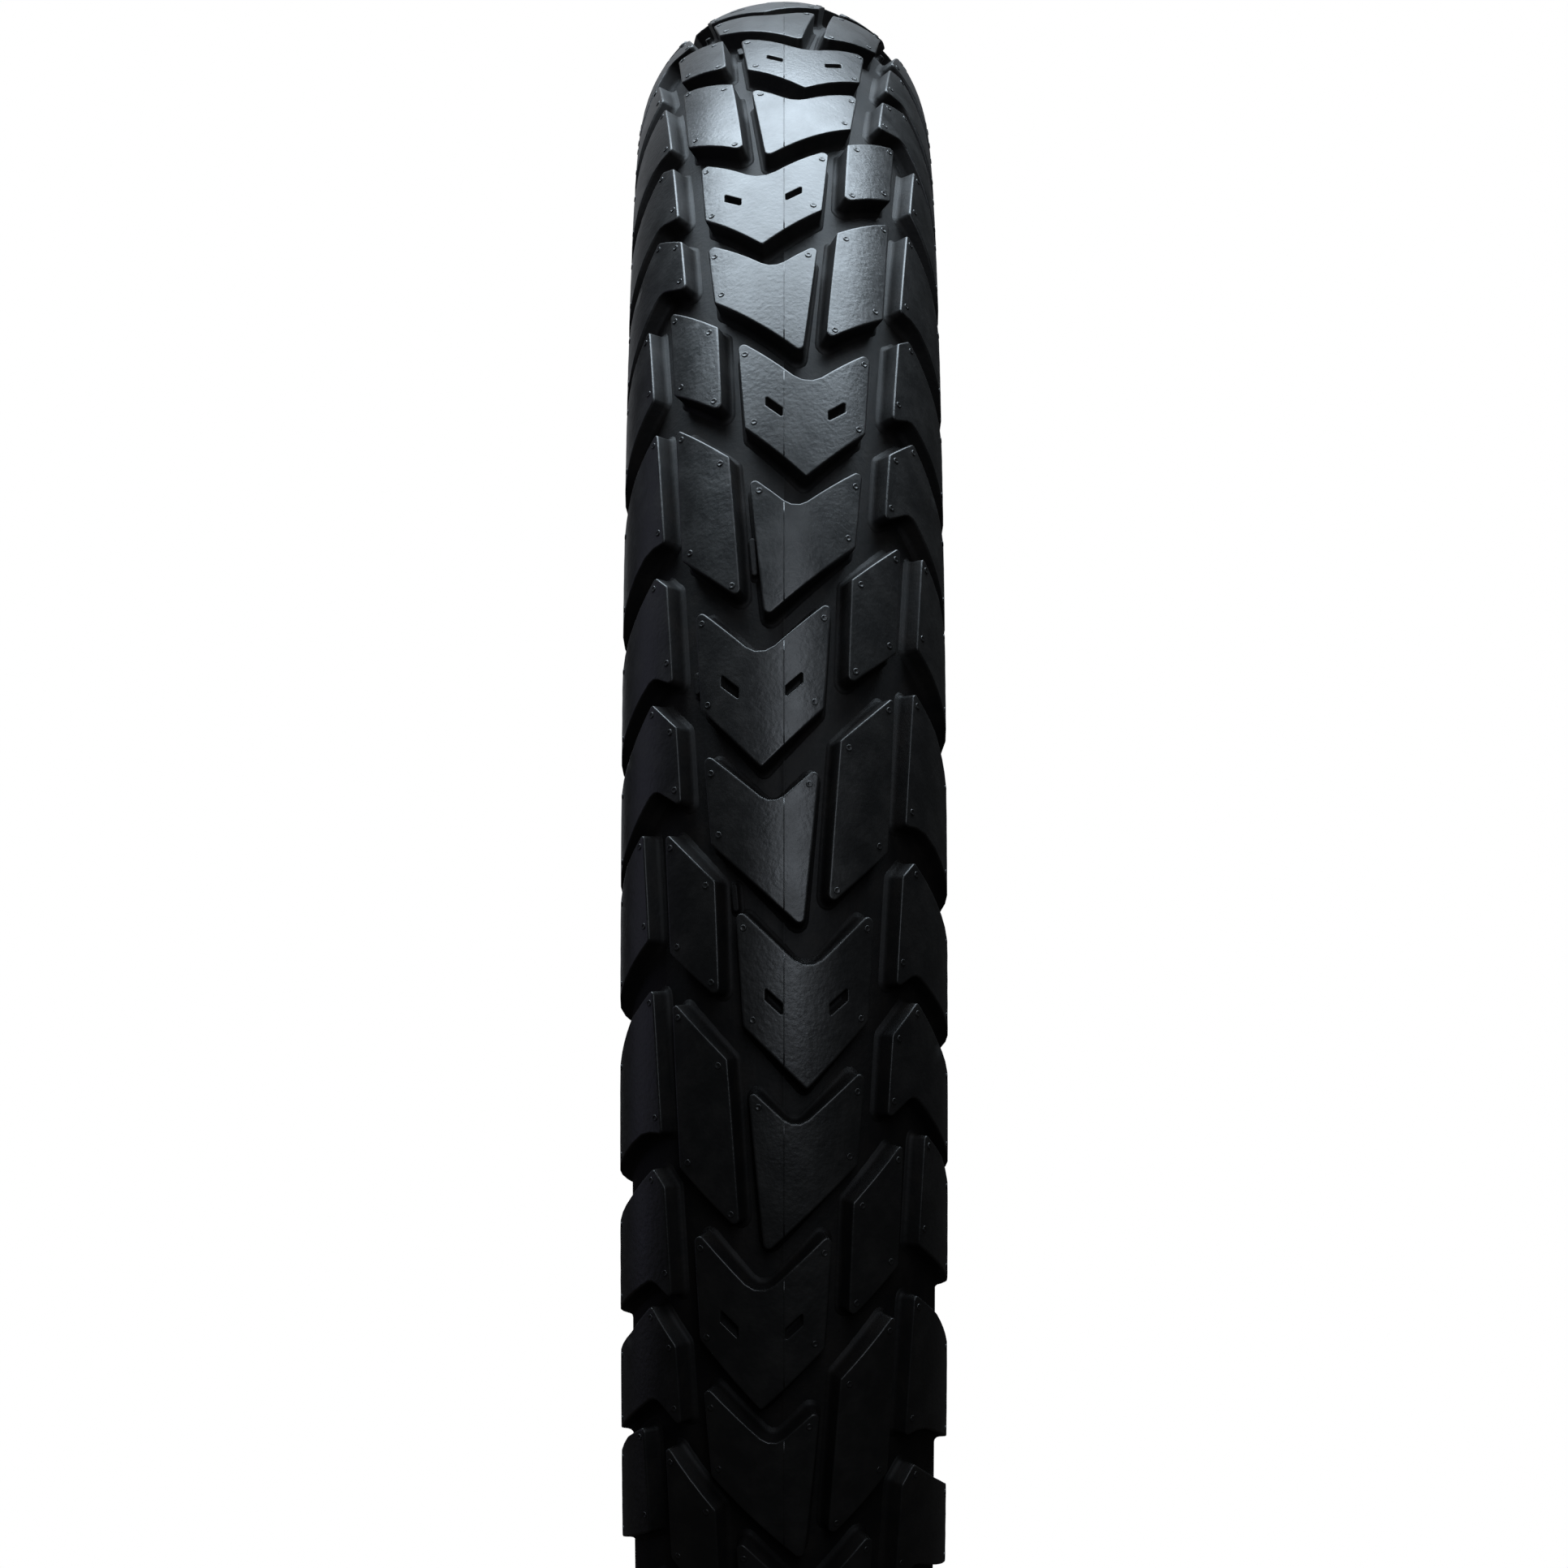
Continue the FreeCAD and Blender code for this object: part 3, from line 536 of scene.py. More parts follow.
# One block in tread coordinates: points (across, along, sink), quads and triangles. The
# walls join ring to ring, and the top, the foot and the slots' bottoms are filled outlines.
def makeBlock(block):
    outline, normals = roundedOutline(block["corners"], blockShape["rimStep"])
    height = block.get("height")
    rings = blockRings(outline, normals, height)
    size = len(outline)
    points = [np.column_stack(ring) for ring in rings]
    quads = [ringQuads(size, [i * size for i in range(len(rings))])[:, ::-1]]
    total = size * len(rings)
    slots = []
    for corners in block.get("slots", ()):
        walls = slotRings(*roundedOutline(corners, blockShape["rimStep"]))
        points += [np.column_stack(ring) for ring in walls]
        count = len(walls[0][0])
        quads.append(ringQuads(count, [total + i * count for i in range(len(walls))]))
        bottom = fillOutline(walls[-1][0])[1] + total + count * (len(walls) - 1)
        slots.append((total, walls, bottom))
        total += count * len(walls)
    holes = [walls[0][0] for start, walls, bottom in slots]
    extra, top = fillOutline(rings[0][0], holes, blockShape["topStep"])
    lookup = [np.arange(size)]
    lookup += [start + np.arange(len(walls[0][0])) for start, walls, bottom in slots]
    lookup.append(total + np.arange(len(extra)))
    top = np.concatenate(lookup)[top]
    floor = grooveDepth(extra[:, 0])
    sink = np.zeros(len(extra))
    if height is not None:
        sink = floor - np.minimum(height, floor * blockShape["barShare"])
    points.append(np.column_stack([extra, sink]))
    foot = fillOutline(rings[-1][0])[1][:, ::-1] + size * (len(rings) - 1)
    triangles = np.concatenate([top, foot] + [bottom for start, walls, bottom in slots])
    return np.concatenate(points), np.concatenate(quads), triangles


# Copies of a shape in tread coordinates all round the tire. The left-hand copies change
# the sign of across and move on by half a repeat, and their faces turn over.
def stampRound(points, quads, triangles, sides=(1, -1), every=1):
    copies = []
    for side in sides:
        for step in range(0, repeats, every):
            shift = step * repeatLength + (0 if side > 0 else -repeatLength / 2)
            copies.append((points * [side, 1, 1] + [0, shift, 0],
                           quads[:, ::side], triangles[:, ::side]))
    return joinShapes(copies)


# Height of each point above the groove floor, as a share of the block's height. Where the
# blocks run out into the skin, the depth is taken as half a millimetre at least.
def heightShare(places):
    depth = np.maximum(grooveDepth(places[:, 0]), 0.5)
    return np.clip(1 - places[:, 2] / depth, 0, 1)


# Piece of the tread from a shape in tread coordinates
def makeTreadPiece(name, shape, share=heightShare):
    places, quads, triangles = shape
    print(name, "triangles", 2 * len(quads) + len(triangles))
    return makePiece(name, onTire(*places.T), [quads, triangles], treadRubber,
                     {"height": share(places)})


# All copies of a family of blocks as one piece
def makeBlocks(name, blocks, sides, every=1):
    return makeTreadPiece(name, joinShapes([stampRound(*makeBlock(block), sides, every)
                                            for block in blocks.values()]))


# Wear bars: short ridges that stand in the channels, on every second repeat
wearBarShape = {"halfWidth": 1.0, "cornerRadius": 0.9, "height": 2.1}
wearBarPlaces = {                # across, along, length, and how far each end leans across
    "long": (-9.8, 149.0, 12.5, -0.5),
    "short": (-15.5, 45.0, 8.0, -0.4),
    "shoulder": (39.6, 135.0, 6.0, 0.2),
    "outer": (-28.9, 111.0, 7.0, -0.3),
}


def wearBar(across, along, length, lean):
    half, width, corner = length / 2, wearBarShape["halfWidth"], wearBarShape["cornerRadius"]
    corners = [(across - width + lean, along + half, corner),
               (across + width + lean, along + half, corner),
               (across + width - lean, along - half, corner),
               (across - width - lean, along - half, corner)]
    return {"corners": corners, "height": wearBarShape["height"]}


wearBars = {name: wearBar(*place) for name, place in wearBarPlaces.items()}

treadPieces = [
    makeBlocks("tread_centre_blocks", centreBlocks, (1, -1)),
    makeBlocks("tread_wear_bars", wearBars, (1,), 2),
    makeBlocks("tread_shoulder_blocks_right", shoulderBlocks, (1,)),
    makeBlocks("tread_shoulder_blocks_left", shoulderBlocks, (-1,)),
]


# Ring turned about the axle: a closed profile of (offset, radius) points, clockwise as
# seen with the offset to the right and the radius up, carried round a circle.
def turnedRing(profile, segments):
    angle = 2 * math.pi * np.arange(segments) / segments
    radius = profile[:, 1][None, :]
    points = np.stack([radius * np.cos(angle)[:, None],
                       np.repeat(profile[:, 0][None, :], segments, axis=0),
                       radius * np.sin(angle)[:, None]], axis=-1)
    size = len(profile)
    quads = ringQuads(size, [i * size for i in range(segments)] + [0])
    return points.reshape(-1, 3), quads


# Points on an arc of the section, from one angle to another, in degrees from straight out
# along the radius towards the right.
def arcPoints(centre, arc, first, last, count):
    angle = np.radians(np.linspace(first, last, count))
    return np.column_stack([centre[0] + arc * np.sin(angle), centre[1] + arc * np.cos(angle)])


# The same profile on the other side of the middle plane, walked the other way
def mirrorProfile(points):
    return points[::-1] * [-1, 1]


# Fine ridge left on the crown where the halves of the mould met
partingLine = {
    "halfWidth": 0.24,
    "height": 0.11,              # in the grooves
    "topHeight": 0.035,          # over the block tops, where use has worn it
    "topWidthShare": 0.8,
    "flatShare": 0.35,           # width of the flat crest on the tops
    "sink": 0.3,
    "spans": [(88.6, 119.6), (40.6, 72.6)],                 # where it crosses block tops
    "stepsAlong": 9,
}

treadBase = {
    "segments": 360,
    "crownPoints": 40,
    "lowerPoints": 8,
    "wingPoints": 10,
    "underPoints": 20,
}


# Groove floors and the underside of the tread as one closed ring.
def makeTreadBase():
    s = section
    wing = 90 + s["wingAngle"]
    crown = arcPoints(s["skinCentre"], s["skinArc"], 0, 90, treadBase["crownPoints"])
    top = s["skinCentre"][1] + s["skinArc"]
    crown = np.concatenate([[[0.0, top + partingLine["height"]],
                             [partingLine["halfWidth"], top]], crown[1:]])
    lower = arcPoints(s["lowerSkinCentre"], s["lowerSkinArc"], 90, wing,
                      treadBase["lowerPoints"])[1:]
    underLower = arcPoints(s["lowerSkinCentre"], s["wingUnderArc"] - s["lowerSkinCentre"][0],
                           wing, 90, treadBase["lowerPoints"])
    underWing = arcPoints(s["skinCentre"], s["wingUnderArc"], 90, s["underAngle"],
                          treadBase["wingPoints"])[1:]
    underCrown = arcPoints(s["skinCentre"], s["underArc"], s["underAngle"], 0,
                           treadBase["underPoints"])
    right = np.concatenate([crown, lower, underLower, underWing, underCrown])
    left = mirrorProfile(right)[1:-1]
    profile = np.concatenate([right, left])
    points, quads = turnedRing(profile, treadBase["segments"])
    return makePiece("tread_base", points, [quads], treadRubber,
                     {"height": np.zeros(len(points))})


treadPieces.append(makeTreadBase())
for piece in treadPieces:
    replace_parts(piece, "tread")


ventPip = {
    "rings": [(1.05, -0.1), (0.95, 0.16), (0.72, 0.2), (0.5, 0.04)],    # radius and height
    "middle": 0.1,               # height of the stub in the dimple
    "sides": 10,
}


# The marks below stand on the block tops, so all of their points have the tops' look.
def fullHeight(places):
    return np.ones(len(places))


# Vent pip: a low round collar with a dimple, turned about the surface's normal.
def makeVentPips():
    size = ventPip["sides"]
    angle = 2 * math.pi * np.arange(size) / size
    circle = np.column_stack([np.cos(angle), np.sin(angle)])
    shape = [np.column_stack([circle * radius, np.full(size, -height)])
             for radius, height in ventPip["rings"]]
    shape = np.concatenate(shape + [np.array([[0, 0, -ventPip["middle"]]])])
    count = len(ventPip["rings"])
    quads = ringQuads(size, [i * size for i in range(count)])
    around = np.arange(size)
    inner = (count - 1) * size
    cap = np.column_stack([inner + around, inner + (around + 1) % size,
                           np.full(size, count * size)])
    under = np.column_stack([np.zeros(size - 2, int), np.arange(2, size),
                             np.arange(1, size - 1)])
    pips = [pip for blocks in (centreBlocks, shoulderBlocks) for block in blocks.values()
            for pip in block["pips"]]
    placed = [stampRound(shape + [across, along, 0], quads, np.concatenate([cap, under]))
              for across, along in pips]
    return makeTreadPiece("tread_vent_pips", joinShapes(placed), fullHeight)


# Ridge on the block tops: a small flat-topped section carried along the crown.
def makePartingLine():
    line = partingLine
    half, height, sink = line["halfWidth"] * line["topWidthShare"], line["topHeight"], line["sink"]
    crest = half * line["flatShare"]
    ridge = np.array([(-half, 0.0), (-crest, -height), (crest, -height),
                      (half, 0.0), (half, sink), (-half, sink)])
    size = len(ridge)
    placed = []
    for start, end in line["spans"]:
        steps = np.linspace(start, end, line["stepsAlong"])
        shape = np.concatenate([np.column_stack([ridge[:, 0], np.full(size, along),
                                                 ridge[:, 1]]) for along in steps])
        quads = ringQuads(size, [i * size for i in range(len(steps))])
        back = np.array([[0, 1, 2, 3], [0, 3, 4, 5]])
        front, back = back[:, ::-1], back + size * (len(steps) - 1)
        placed.append(stampRound(shape, np.concatenate([quads, front, back]),
                                 np.zeros((0, 3), int)))
    return makeTreadPiece("tread_parting_line", joinShapes(placed), fullHeight)


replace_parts(makeVentPips(), "tread")
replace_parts(makePartingLine(), "tread")
print("tread made")


# The sidewall covers the casing from the edge of the breakers down to the rim flange. Its
# skin has fine rings and one taller ring, which shows that the bead sits evenly.
sidewall = {
    "segments": 360,
    "wingUnder": 21.0,           # under the wing of the tread
    "turnUp": (0.8, 1.0),        # step of the turned-up layers at the bead: width and height
    "turnUpSteps": 3,
    "turnUpTop": 274.0,
    "fillerTip": (31.5, 286.71),
    "slantAngle": 40.0,          # slope of the casing above the bead filler
    "cornerCentre": (24.0, 300.0),
    "cornerArc": 15.0,
    "casingArc": 39.0,
    "flangeTop": 275.0,
    "flangePoints": 9,
    "cornerPoints": 6,
    "layerPoints": 8,            # on the arcs that lie against the casing and the tread
    "rings": [(37.5, 0.7, 0.16), (39.5, 0.7, 0.16), (41.5, 0.7, 0.16), (46.8, 1.5, 0.55)],
    "ringStep": 0.35,            # degrees between points of the skin
}


# Height of the moulded rings over the skin: each is a low hump at an angle below the
# widest point, with a half width in degrees.
def ringHeight(angle):
    return sum(height * np.maximum(0, 1 - ((angle - middle) / half) ** 2)
               for middle, half, height in sidewall["rings"])


# Closed profile, walked clockwise and turned about the axle: under the tread's wing, down
# the skin with its rings, round the rim flange, up the steps of the turned-up layers and
# the filler, and back up the casing. The left one is the right one mirrored.
def makeSidewall(side, name, material):
    s, w = section, sidewall
    skinMiddle, skin = s["lowerSkinCentre"], s["lowerSkinArc"]
    count = round((s["rimLineAngle"] - s["wingAngle"]) / w["ringStep"]) + 1
    below = np.linspace(s["wingAngle"], s["rimLineAngle"], count)
    angle = np.radians(90 + below)
    reach = skin + ringHeight(below)
    outer = np.column_stack([skinMiddle[0] + reach * np.sin(angle),
                             skinMiddle[1] + reach * np.cos(angle)])
    rimLine = outer[-1]
    out, up = rimLine[0] - heelWidth, rimLine[1] - w["flangeTop"]
    hollow = (out * out + up * up) / (2 * out)
    flange = arcPoints((heelWidth + hollow, w["flangeTop"]), hollow,
                       math.degrees(math.asin((out - hollow) / hollow)), -90,
                       w["flangePoints"])[1:]
    across, high = w["turnUp"]
    steps = [(heelWidth, w["turnUpTop"])]
    for i in range(w["turnUpSteps"]):
        steps += [(heelWidth - across * (i + 1), w["turnUpTop"] + high * i),
                  (heelWidth - across * (i + 1), w["turnUpTop"] + high * (i + 1))]
    underWing = arcPoints(skinMiddle, w["wingUnder"], 90, 90 + s["wingAngle"],
                          w["layerPoints"])
    profile = np.concatenate([
        arcPoints(s["skinCentre"], s["wingUnderArc"], s["underAngle"], 90,
                  w["layerPoints"])[:-1],
        underWing, outer, flange, steps, [w["fillerTip"]],
        arcPoints(w["cornerCentre"], w["cornerArc"], 180 - w["slantAngle"], 90,
                  w["cornerPoints"])[:-1],
        arcPoints(s["skinCentre"], w["casingArc"], 90, s["underAngle"], w["layerPoints"])])
    points, quads = turnedRing(profile, w["segments"])
    if side < 0:
        points, quads = points * [1, -1, 1], quads[:, ::-1]
    piece = makePiece(name, points, [quads], material)
    print(name, "triangles", 2 * len(quads))
    return piece


# Sidewall rubber, moulded against smoother steel than the tread: finer grain, the same
# satin black, and a faint brown bloom of wax that has come to the surface
sidewallRubber = {
    "faceColour": "#151516",
    "wornColour": "#1d1b1a",
    "roughness": 0.46,
    "roughnessSpread": 0.12,
    "grainSize": 0.9,
    "grainDepth": 0.03,
    "waveSize": 14.0,
    "waveDepth": 0.04,
}
wallRubber = makeMouldedRubber("sidewall_rubber", sidewallRubber)
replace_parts(makeSidewall(1, "sidewall_ring_right", wallRubber), "sidewall_right")
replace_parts(makeSidewall(-1, "sidewall_ring_left", wallRubber), "sidewall_left")
print("sidewalls made")


# Angle about the axle, with the coordinates that it comes from
def placeOnRing(tree):
    place = addNode(tree, "ShaderNodeTexCoord")
    axes = addNode(tree, "ShaderNodeSeparateXYZ", None, {"Vector": (place, "Object")})
    angle = addNode(tree, "ShaderNodeMath", {"operation": "ARCTAN2"},
                    {"Value": (axes, "Z"), "Value_001": (axes, "X")})
    return place, axes, angle


# Ridges that cross the tire at a lean, as a wave from 0 to 1. Lean is how far a ridge moves
# round the tire for each step across it.
def leaningRidges(tree, axes, angle, radius, pitch, lean):
    count = round(2 * math.pi * radius / (pitch * math.hypot(1, lean)))
    shift = addNode(tree, "ShaderNodeMath",
                    {"operation": "MULTIPLY", "Value_001": lean * count * metre / radius},
                    {"Value": (axes, "Y")})
    phase = addNode(tree, "ShaderNodeMath", {"operation": "MULTIPLY_ADD", "Value_001": count},
                    {"Value": (angle, "Value"), "Value_002": (shift, "Value")})
    wave = addNode(tree, "ShaderNodeMath", {"operation": "SINE"}, {"Value": (phase, "Value")})
    return addNode(tree, "ShaderNodeMapRange", {"From Min": -1.0, "From Max": 1.0},
                   {"Value": (wave, "Value")})


# Twisted cords laid side by side and pressed into rubber: round ridges in the cord's own
# colour, with black rubber between them. The real spacing is about 1 mm.
def makeCordFabric(name, look, lean):
    material, tree = newMaterial(name)
    place, axes, angle = placeOnRing(tree)
    cords = leaningRidges(tree, axes, angle, look["radius"], look["pitch"], lean)
    twist = addNode(tree, "ShaderNodeTexNoise",
                    {"Scale": metre / look["twist"], "Detail": 2.0},
                    {"Vector": (place, "Object")})
    ridge = addNode(tree, "ShaderNodeBump",
                    {"Strength": 0.9, "Distance": look["depth"] / metre},
                    {"Height": (cords, "Result")})
    fray = addNode(tree, "ShaderNodeBump", {"Strength": 0.4, "Distance": look["fray"] / metre},
                   {"Height": (twist, "Fac"), "Normal": (ridge, "Normal")})
    addFinish(tree, look, (cords, "Result"), (twist, "Fac"), {"IOR": 1.5}, fray)
    return material


# Bias plies of nylon tire cord, brown from their adhesive dip. The colours run from the
# rubber's to the cord's.
nylonPly = {"radius": 339.0, "pitch": 1.2, "depth": 0.3, "twist": 0.5, "fray": 0.05,
            "lean": 1.43, "colours": ("#141312", "#7a6a4c"), "roughness": (0.55, 0.85)}
# Breakers of aramid cord, yellow, at a flatter angle than the plies
aramidBreaker = {**nylonPly, "radius": 341.0, "pitch": 1.4, "lean": 2.2,
                 "colours": ("#141312", "#8f7a48")}


# Square-woven nylon under a thin skin of rubber, which rubs against the rim: crossed
# threads that show as a fine chequer, dull black with a little brown on the crests. The
# colours run from the rubber's to the thread's.
chaferCloth = {"radius": beadRadius, "pitch": 1.6, "depth": 0.14, "wear": 7.0,
               "colours": ("#0f0f0f", "#2b2723"), "roughness": (0.5, 0.72)}
# The strip round the bead wires: the same cloth, with less rubber on it
beadWrapCloth = {"radius": beadRadius + 3.3, "pitch": 1.1, "depth": 0.18, "wear": 5.0,
                 "colours": ("#121110", "#4b4335"), "roughness": (0.6, 0.82)}


def makeWovenCloth(name, look):
    material, tree = newMaterial(name)
    place, axes, angle = placeOnRing(tree)
    warp = leaningRidges(tree, axes, angle, look["radius"], look["pitch"], 1.0)
    weft = leaningRidges(tree, axes, angle, look["radius"], look["pitch"], -1.0)
    chequer = addNode(tree, "ShaderNodeMath", {"operation": "MULTIPLY"},
                      {"Value": (warp, "Result"), "Value_001": (weft, "Result")})
    wear = addNode(tree, "ShaderNodeTexNoise", {"Scale": metre / look["wear"], "Detail": 5.0},
                   {"Vector": (place, "Object")})
    bare = addNode(tree, "ShaderNodeMath", {"operation": "MULTIPLY"},
                   {"Value": (chequer, "Value"), "Value_001": (wear, "Fac")})
    weave = addNode(tree, "ShaderNodeBump",
                    {"Strength": 0.9, "Distance": look["depth"] / metre},
                    {"Height": (chequer, "Value")})
    addFinish(tree, look, (bare, "Value"), (wear, "Fac"), {"IOR": 1.5}, weave)
    return material


# Butyl liner, cured against a rubber bladder: smooth, greasy black, with raised lines from
# the bladder's vent grooves, the plies' cords faintly showing through, and grey smears of
# release agent, which are also more matte
butylLiner = {
    "radius": 336.0,
    "ventPitch": 12.0,
    "ventLean": 0.35,
    "ventDepth": 0.35,
    "ventCrest": 0.9,            # share of the wave above which a line stands up
    "cordPitch": 1.6,
    "cordDepth": 0.035,
    "smear": 26.0,
    "smearLimits": (0.48, 0.75),
    "colours": ("#131314", "#2a2b2c"),
    "roughness": (0.34, 0.7),
}


def makeButylLiner(name, look):
    material, tree = newMaterial(name)
    place, axes, angle = placeOnRing(tree)
    vents = leaningRidges(tree, axes, angle, look["radius"], look["ventPitch"],
                          look["ventLean"])
    line = addNode(tree, "ShaderNodeMapRange", {"From Min": look["ventCrest"], "From Max": 1.0},
                   {"Value": (vents, "Result")})
    cords = leaningRidges(tree, axes, angle, look["radius"], look["cordPitch"],
                          -nylonPly["lean"])
    raised = addNode(tree, "ShaderNodeBump",
                     {"Strength": 0.8, "Distance": look["ventDepth"] / metre},
                     {"Height": (line, "Result")})
    printed = addNode(tree, "ShaderNodeBump",
                      {"Strength": 0.7, "Distance": look["cordDepth"] / metre},
                      {"Height": (cords, "Result"), "Normal": (raised, "Normal")})
    smear = addNode(tree, "ShaderNodeTexNoise",
                    {"Scale": metre / look["smear"], "Detail": 6.0, "Roughness": 0.65},
                    {"Vector": (place, "Object")})
    low, high = look["smearLimits"]
    where = addNode(tree, "ShaderNodeMapRange", {"From Min": low, "From Max": high},
                    {"Value": (smear, "Fac")})
    addFinish(tree, look, (where, "Result"), (where, "Result"), {"IOR": 1.52}, printed)
    return material


# High-carbon steel wire, drawn and then plated with bronze: reddish yellow metal with fine
# streaks along the wire
bronzedWire = {"radius": 271.5, "streakLength": 60.0, "streakWidth": 0.15,
               "colours": ("#8a6a3c", "#6d5230"), "roughness": (0.25, 0.45)}


def makeBronzedWire(name, look):
    material, tree = newMaterial(name)
    axes, angle = placeOnRing(tree)[1:]
    along = addNode(tree, "ShaderNodeMath",
                    {"operation": "MULTIPLY", "Value_001": look["radius"] / look["streakLength"]},
                    {"Value": (angle, "Value")})
    across = addNode(tree, "ShaderNodeMath",
                     {"operation": "MULTIPLY", "Value_001": metre / look["streakWidth"]},
                     {"Value": (axes, "Y")})
    grid = addNode(tree, "ShaderNodeCombineXYZ", None,
                   {"X": (along, "Value"), "Y": (across, "Value")})
    streak = addNode(tree, "ShaderNodeTexNoise", {"Scale": 1.0, "Detail": 3.0},
                     {"Vector": (grid, "Vector")})
    addFinish(tree, look, (streak, "Fac"), (streak, "Fac"), {"Metallic": 1.0})
    return material


# Calendered cushion rubber between tread and breakers: soft, matte, a little brown
cushionRubber = {**sidewallRubber, "faceColour": "#1c1a18", "wornColour": "#26221e",
                 "roughness": 0.7, "grainSize": 0.8, "grainDepth": 0.04}
# Extruded filler, hard as horn: drier and blacker, with slow ripples from the die
fillerRubber = {**sidewallRubber, "faceColour": "#101010", "wornColour": "#181716",
                "roughness": 0.6, "waveSize": 6.0, "waveDepth": 0.08}
# Hard rubber squeezed between the bead wires, with the same make-up as the filler
insulationRubber = {**fillerRubber, "faceColour": "#0e0e0f", "roughness": 0.52}

nodeFinishes = {
    "undertread": makeMouldedRubber("cushion_rubber_calendered", cushionRubber),
    "breaker_ply_outer": makeCordFabric("breaker_aramid_outer", aramidBreaker,
                                        aramidBreaker["lean"]),
    "breaker_ply_inner": makeCordFabric("breaker_aramid_inner", aramidBreaker,
                                        -aramidBreaker["lean"]),
    "breaker_edge_strip": makeMouldedRubber("edge_strip_rubber", cushionRubber),
    "carcass_ply_outer": makeCordFabric("carcass_nylon_outer", nylonPly, nylonPly["lean"]),
    "carcass_ply_inner": makeCordFabric("carcass_nylon_inner", nylonPly, -nylonPly["lean"]),
    "inner_liner": makeButylLiner("liner_butyl_cured", butylLiner),
    "chafer": makeWovenCloth("chafer_woven_nylon", chaferCloth),
    "bead_wrap": makeWovenCloth("bead_wrap_woven_nylon", beadWrapCloth),
    "bead_filler": makeMouldedRubber("filler_rubber_extruded", fillerRubber),
    "bead_insulation": makeMouldedRubber("bead_insulation_rubber", insulationRubber),
    "bead_wires": makeBronzedWire("bead_steel_bronzed", bronzedWire),
}
finished = 0
for name, node in frame["nodes"].items():
    for stem, material in nodeFinishes.items():
        if name in (stem, stem + "_right", stem + "_left"):
            for slot in node.material_slots:
                slot.material = material
            finished += 1
print("finishes given to", finished, "nodes")


# Matte pale studio paper, which the light falls on but which throws little back
floorPaper = {"colour": "#b1a8a2", "roughness": 0.9, "halfSize": 2.1, "gap": 0.0005}


def makeStage():
    material, tree = newMaterial("studio_paper")
    shader = addNode(tree, "ShaderNodeBsdfPrincipled",
                     {"Base Color": hexToLinear(floorPaper["colour"]),
                      "Roughness": floorPaper["roughness"]})
    addNode(tree, "ShaderNodeOutputMaterial", None, {"Surface": (shader, "BSDF")})
    size = floorPaper["halfSize"]
    level = cadBox[0][2] - floorPaper["gap"]
    mesh = bpy.data.meshes.new("studio_floor")
    mesh.from_pydata([(-size, -size, level), (size, -size, level), (size, size, level),
                      (-size, size, level)], [], [(0, 1, 2, 3)])
    mesh.materials.append(material)
    floor = bpy.data.objects.new("studio_floor", mesh)
    bpy.context.scene.collection.objects.link(floor)
    floor.visible_glossy = False
    floor.visible_diffuse = False


# Softboxes, in metres: the middle, the point it faces, its level side, and its two sizes.
# Brightness is that of the softbox's face.
softboxes = {
    "key_overhead": {"place": (-0.3, 0.0, 1.9), "target": (-0.3, 0.0, 0.0), "side": (0, 1, 0),
                     "size": (2.2, 1.65), "brightness": 10.4, "colour": "#e1f1fe"},
    "front_strip": {"place": (3.2, 0.35, 1.65), "target": (0.3, 0.0, 0.2), "side": (0, 1, 0),
                    "size": (1.0, 3.0), "brightness": 3.6, "colour": "#e9f3ff"},
    "left_panel": {"place": (-0.9, -2.4, 0.5), "target": (0.0, 0.0, 0.0), "side": (1, 0, 0),
                   "size": (1.2, 2.0), "brightness": 0.2, "colour": "#d8d8ff"},
    "rear_strip": {"place": (-3.2, -0.35, 1.2), "target": (-0.3, 0.0, 0.1), "side": (0, 1, 0),
                   "size": (2.0, 2.4), "brightness": 0.4, "colour": "#f4f8ff"},
}
surroundings = {"colour": "#b6b0ac", "strength": 0.03}     # what the room throws on the tire


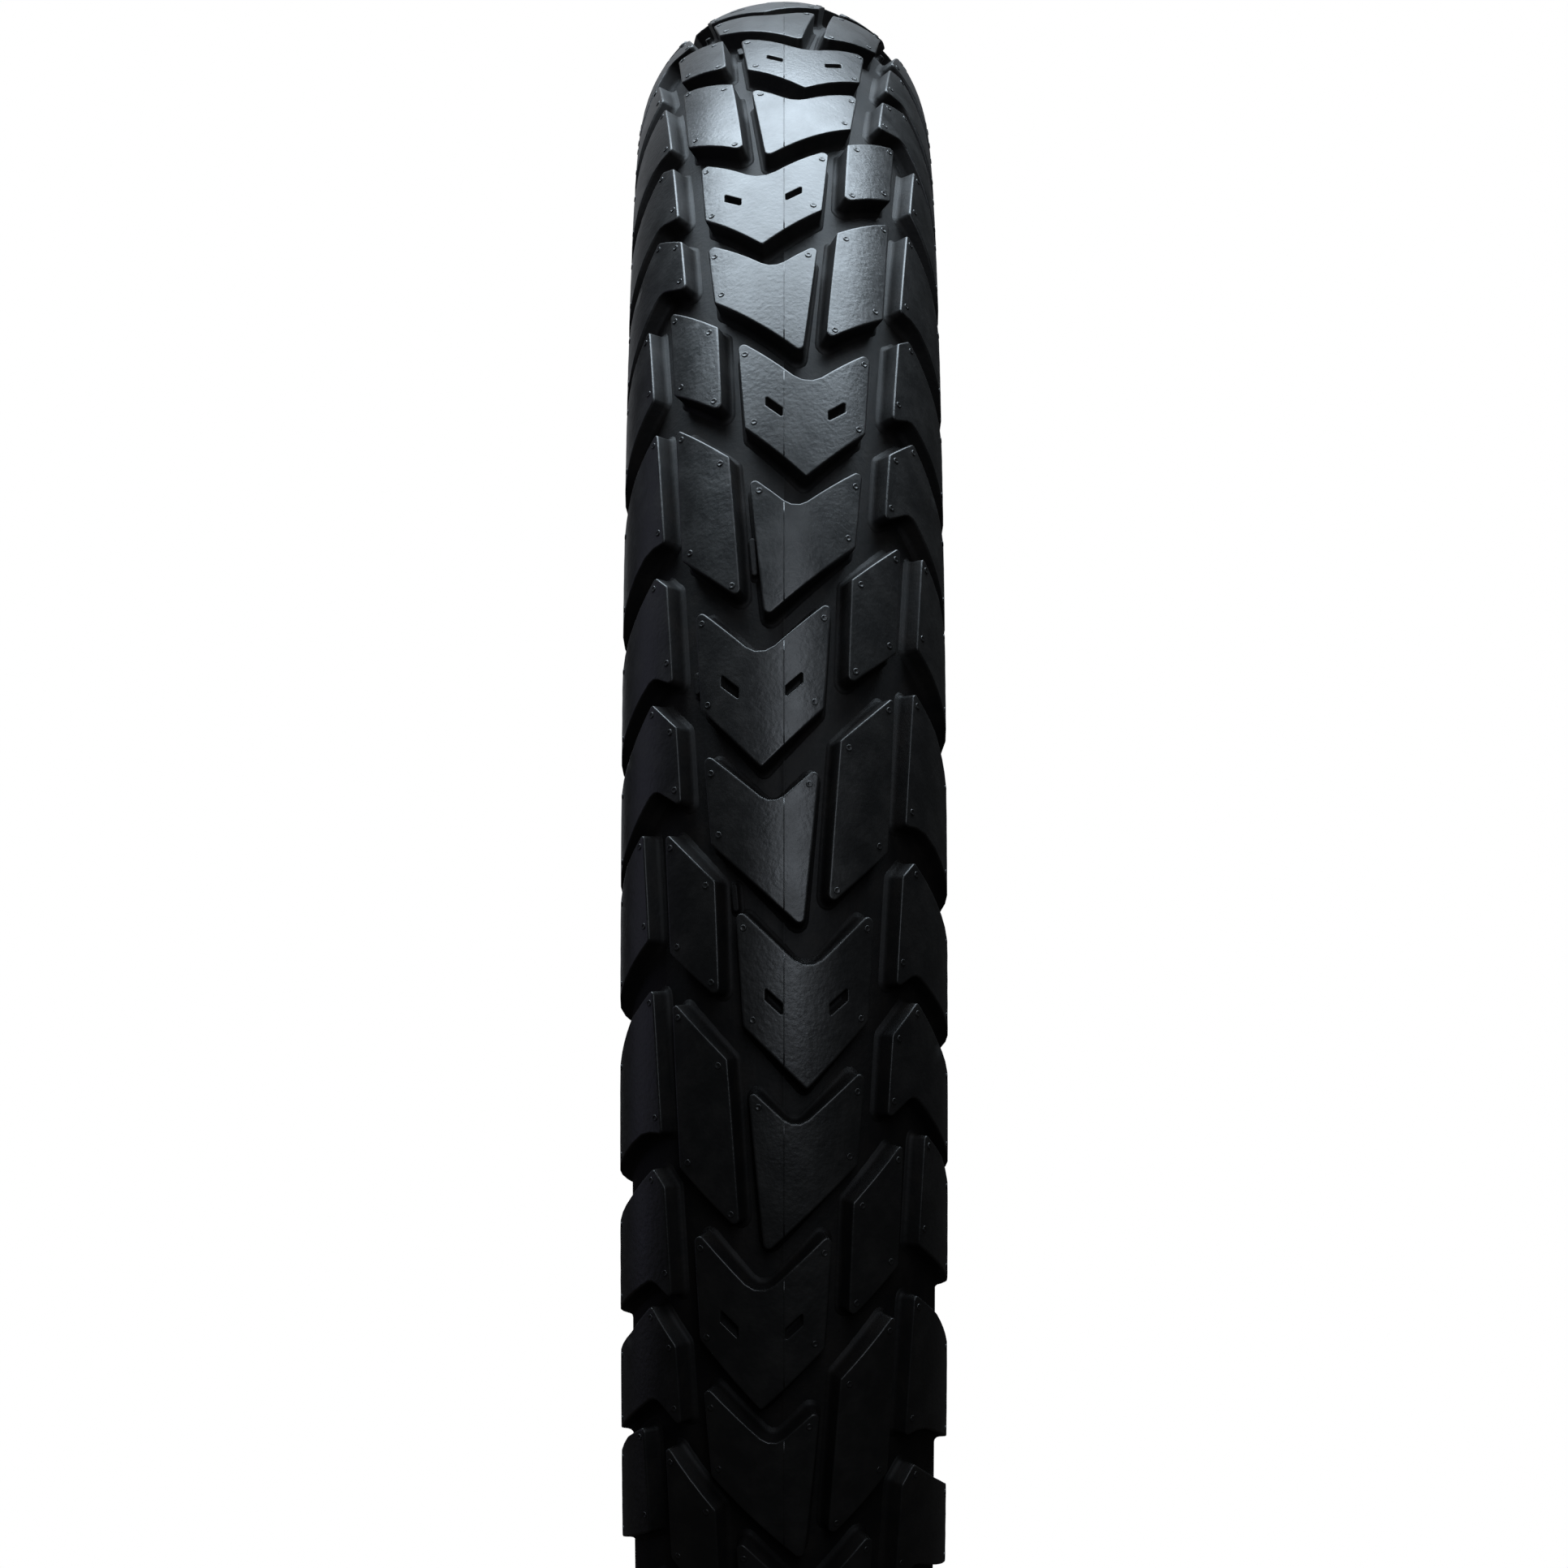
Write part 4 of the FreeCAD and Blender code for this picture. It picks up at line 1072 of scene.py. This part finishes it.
# The power of a softbox is its brightness times pi times its area.
def addSoftbox(name, box):
    width, height = box["size"]
    light = bpy.data.lights.new(name, "AREA")
    light.shape = "RECTANGLE"
    light.size = width
    light.size_y = height
    light.energy = box["brightness"] * math.pi * width * height
    light.color = hexToLinear(box["colour"])[:3]
    lamp = bpy.data.objects.new(name, light)
    back = (Vector(box["place"]) - Vector(box["target"])).normalized()
    across = (Vector(box["side"]) - back * back.dot(Vector(box["side"]))).normalized()
    turn = Matrix((across, back.cross(across), back)).transposed().to_4x4()
    turn.translation = box["place"]
    lamp.matrix_world = turn
    bpy.context.scene.collection.objects.link(lamp)


# The backdrop is white to the camera, and dim to the tire.
def makeLights():
    for name, box in softboxes.items():
        addSoftbox(name, box)
    world = bpy.data.worlds.new("studio")
    world.use_nodes = True
    tree = world.node_tree
    tree.nodes.clear()
    path = addNode(tree, "ShaderNodeLightPath")
    dim = addNode(tree, "ShaderNodeBackground",
                  {"Color": hexToLinear(surroundings["colour"]),
                   "Strength": surroundings["strength"]})
    white = addNode(tree, "ShaderNodeBackground", {"Color": (1, 1, 1, 1), "Strength": 1.0})
    mix = addNode(tree, "ShaderNodeMixShader", None,
                  {"Fac": (path, "Is Camera Ray")})
    tree.links.new(dim.outputs["Background"], mix.inputs[1])
    tree.links.new(white.outputs["Background"], mix.inputs[2])
    addNode(tree, "ShaderNodeOutputWorld", None, {"Surface": (mix, "Shader")})
    bpy.context.scene.world = world


camera = {
    "distance": 6.1,             # from the axle, in outside radii, at the axle's height
    "tilt": 0.0545,              # upwards, in radians
    "lens": 146.35,
    "sensor": 36.0,
    "shift": -0.0493,
}


# The camera stands on the X axis and looks along it, with Y to its right, and is tilted
# about Y.
def makeCamera():
    data = bpy.data.cameras.new("camera")
    data.lens = camera["lens"]
    data.sensor_width = camera["sensor"]
    data.shift_y = camera["shift"]
    data.clip_end = 100
    view = bpy.data.objects.new("camera", data)
    tilt = camera["tilt"]
    right = (0, 1, 0)
    up = (math.sin(tilt), 0, math.cos(tilt))
    back = (math.cos(tilt), 0, -math.sin(tilt))
    turn = Matrix((right, up, back)).transposed().to_4x4()
    turn.translation = (camera["distance"] * outerRadius / metre, 0, 0)
    view.matrix_world = turn
    bpy.context.scene.collection.objects.link(view)
    bpy.context.scene.camera = view


makeStage()
makeLights()
makeCamera()
bpy.context.scene.view_settings.view_transform = "Standard"
print("stage set")
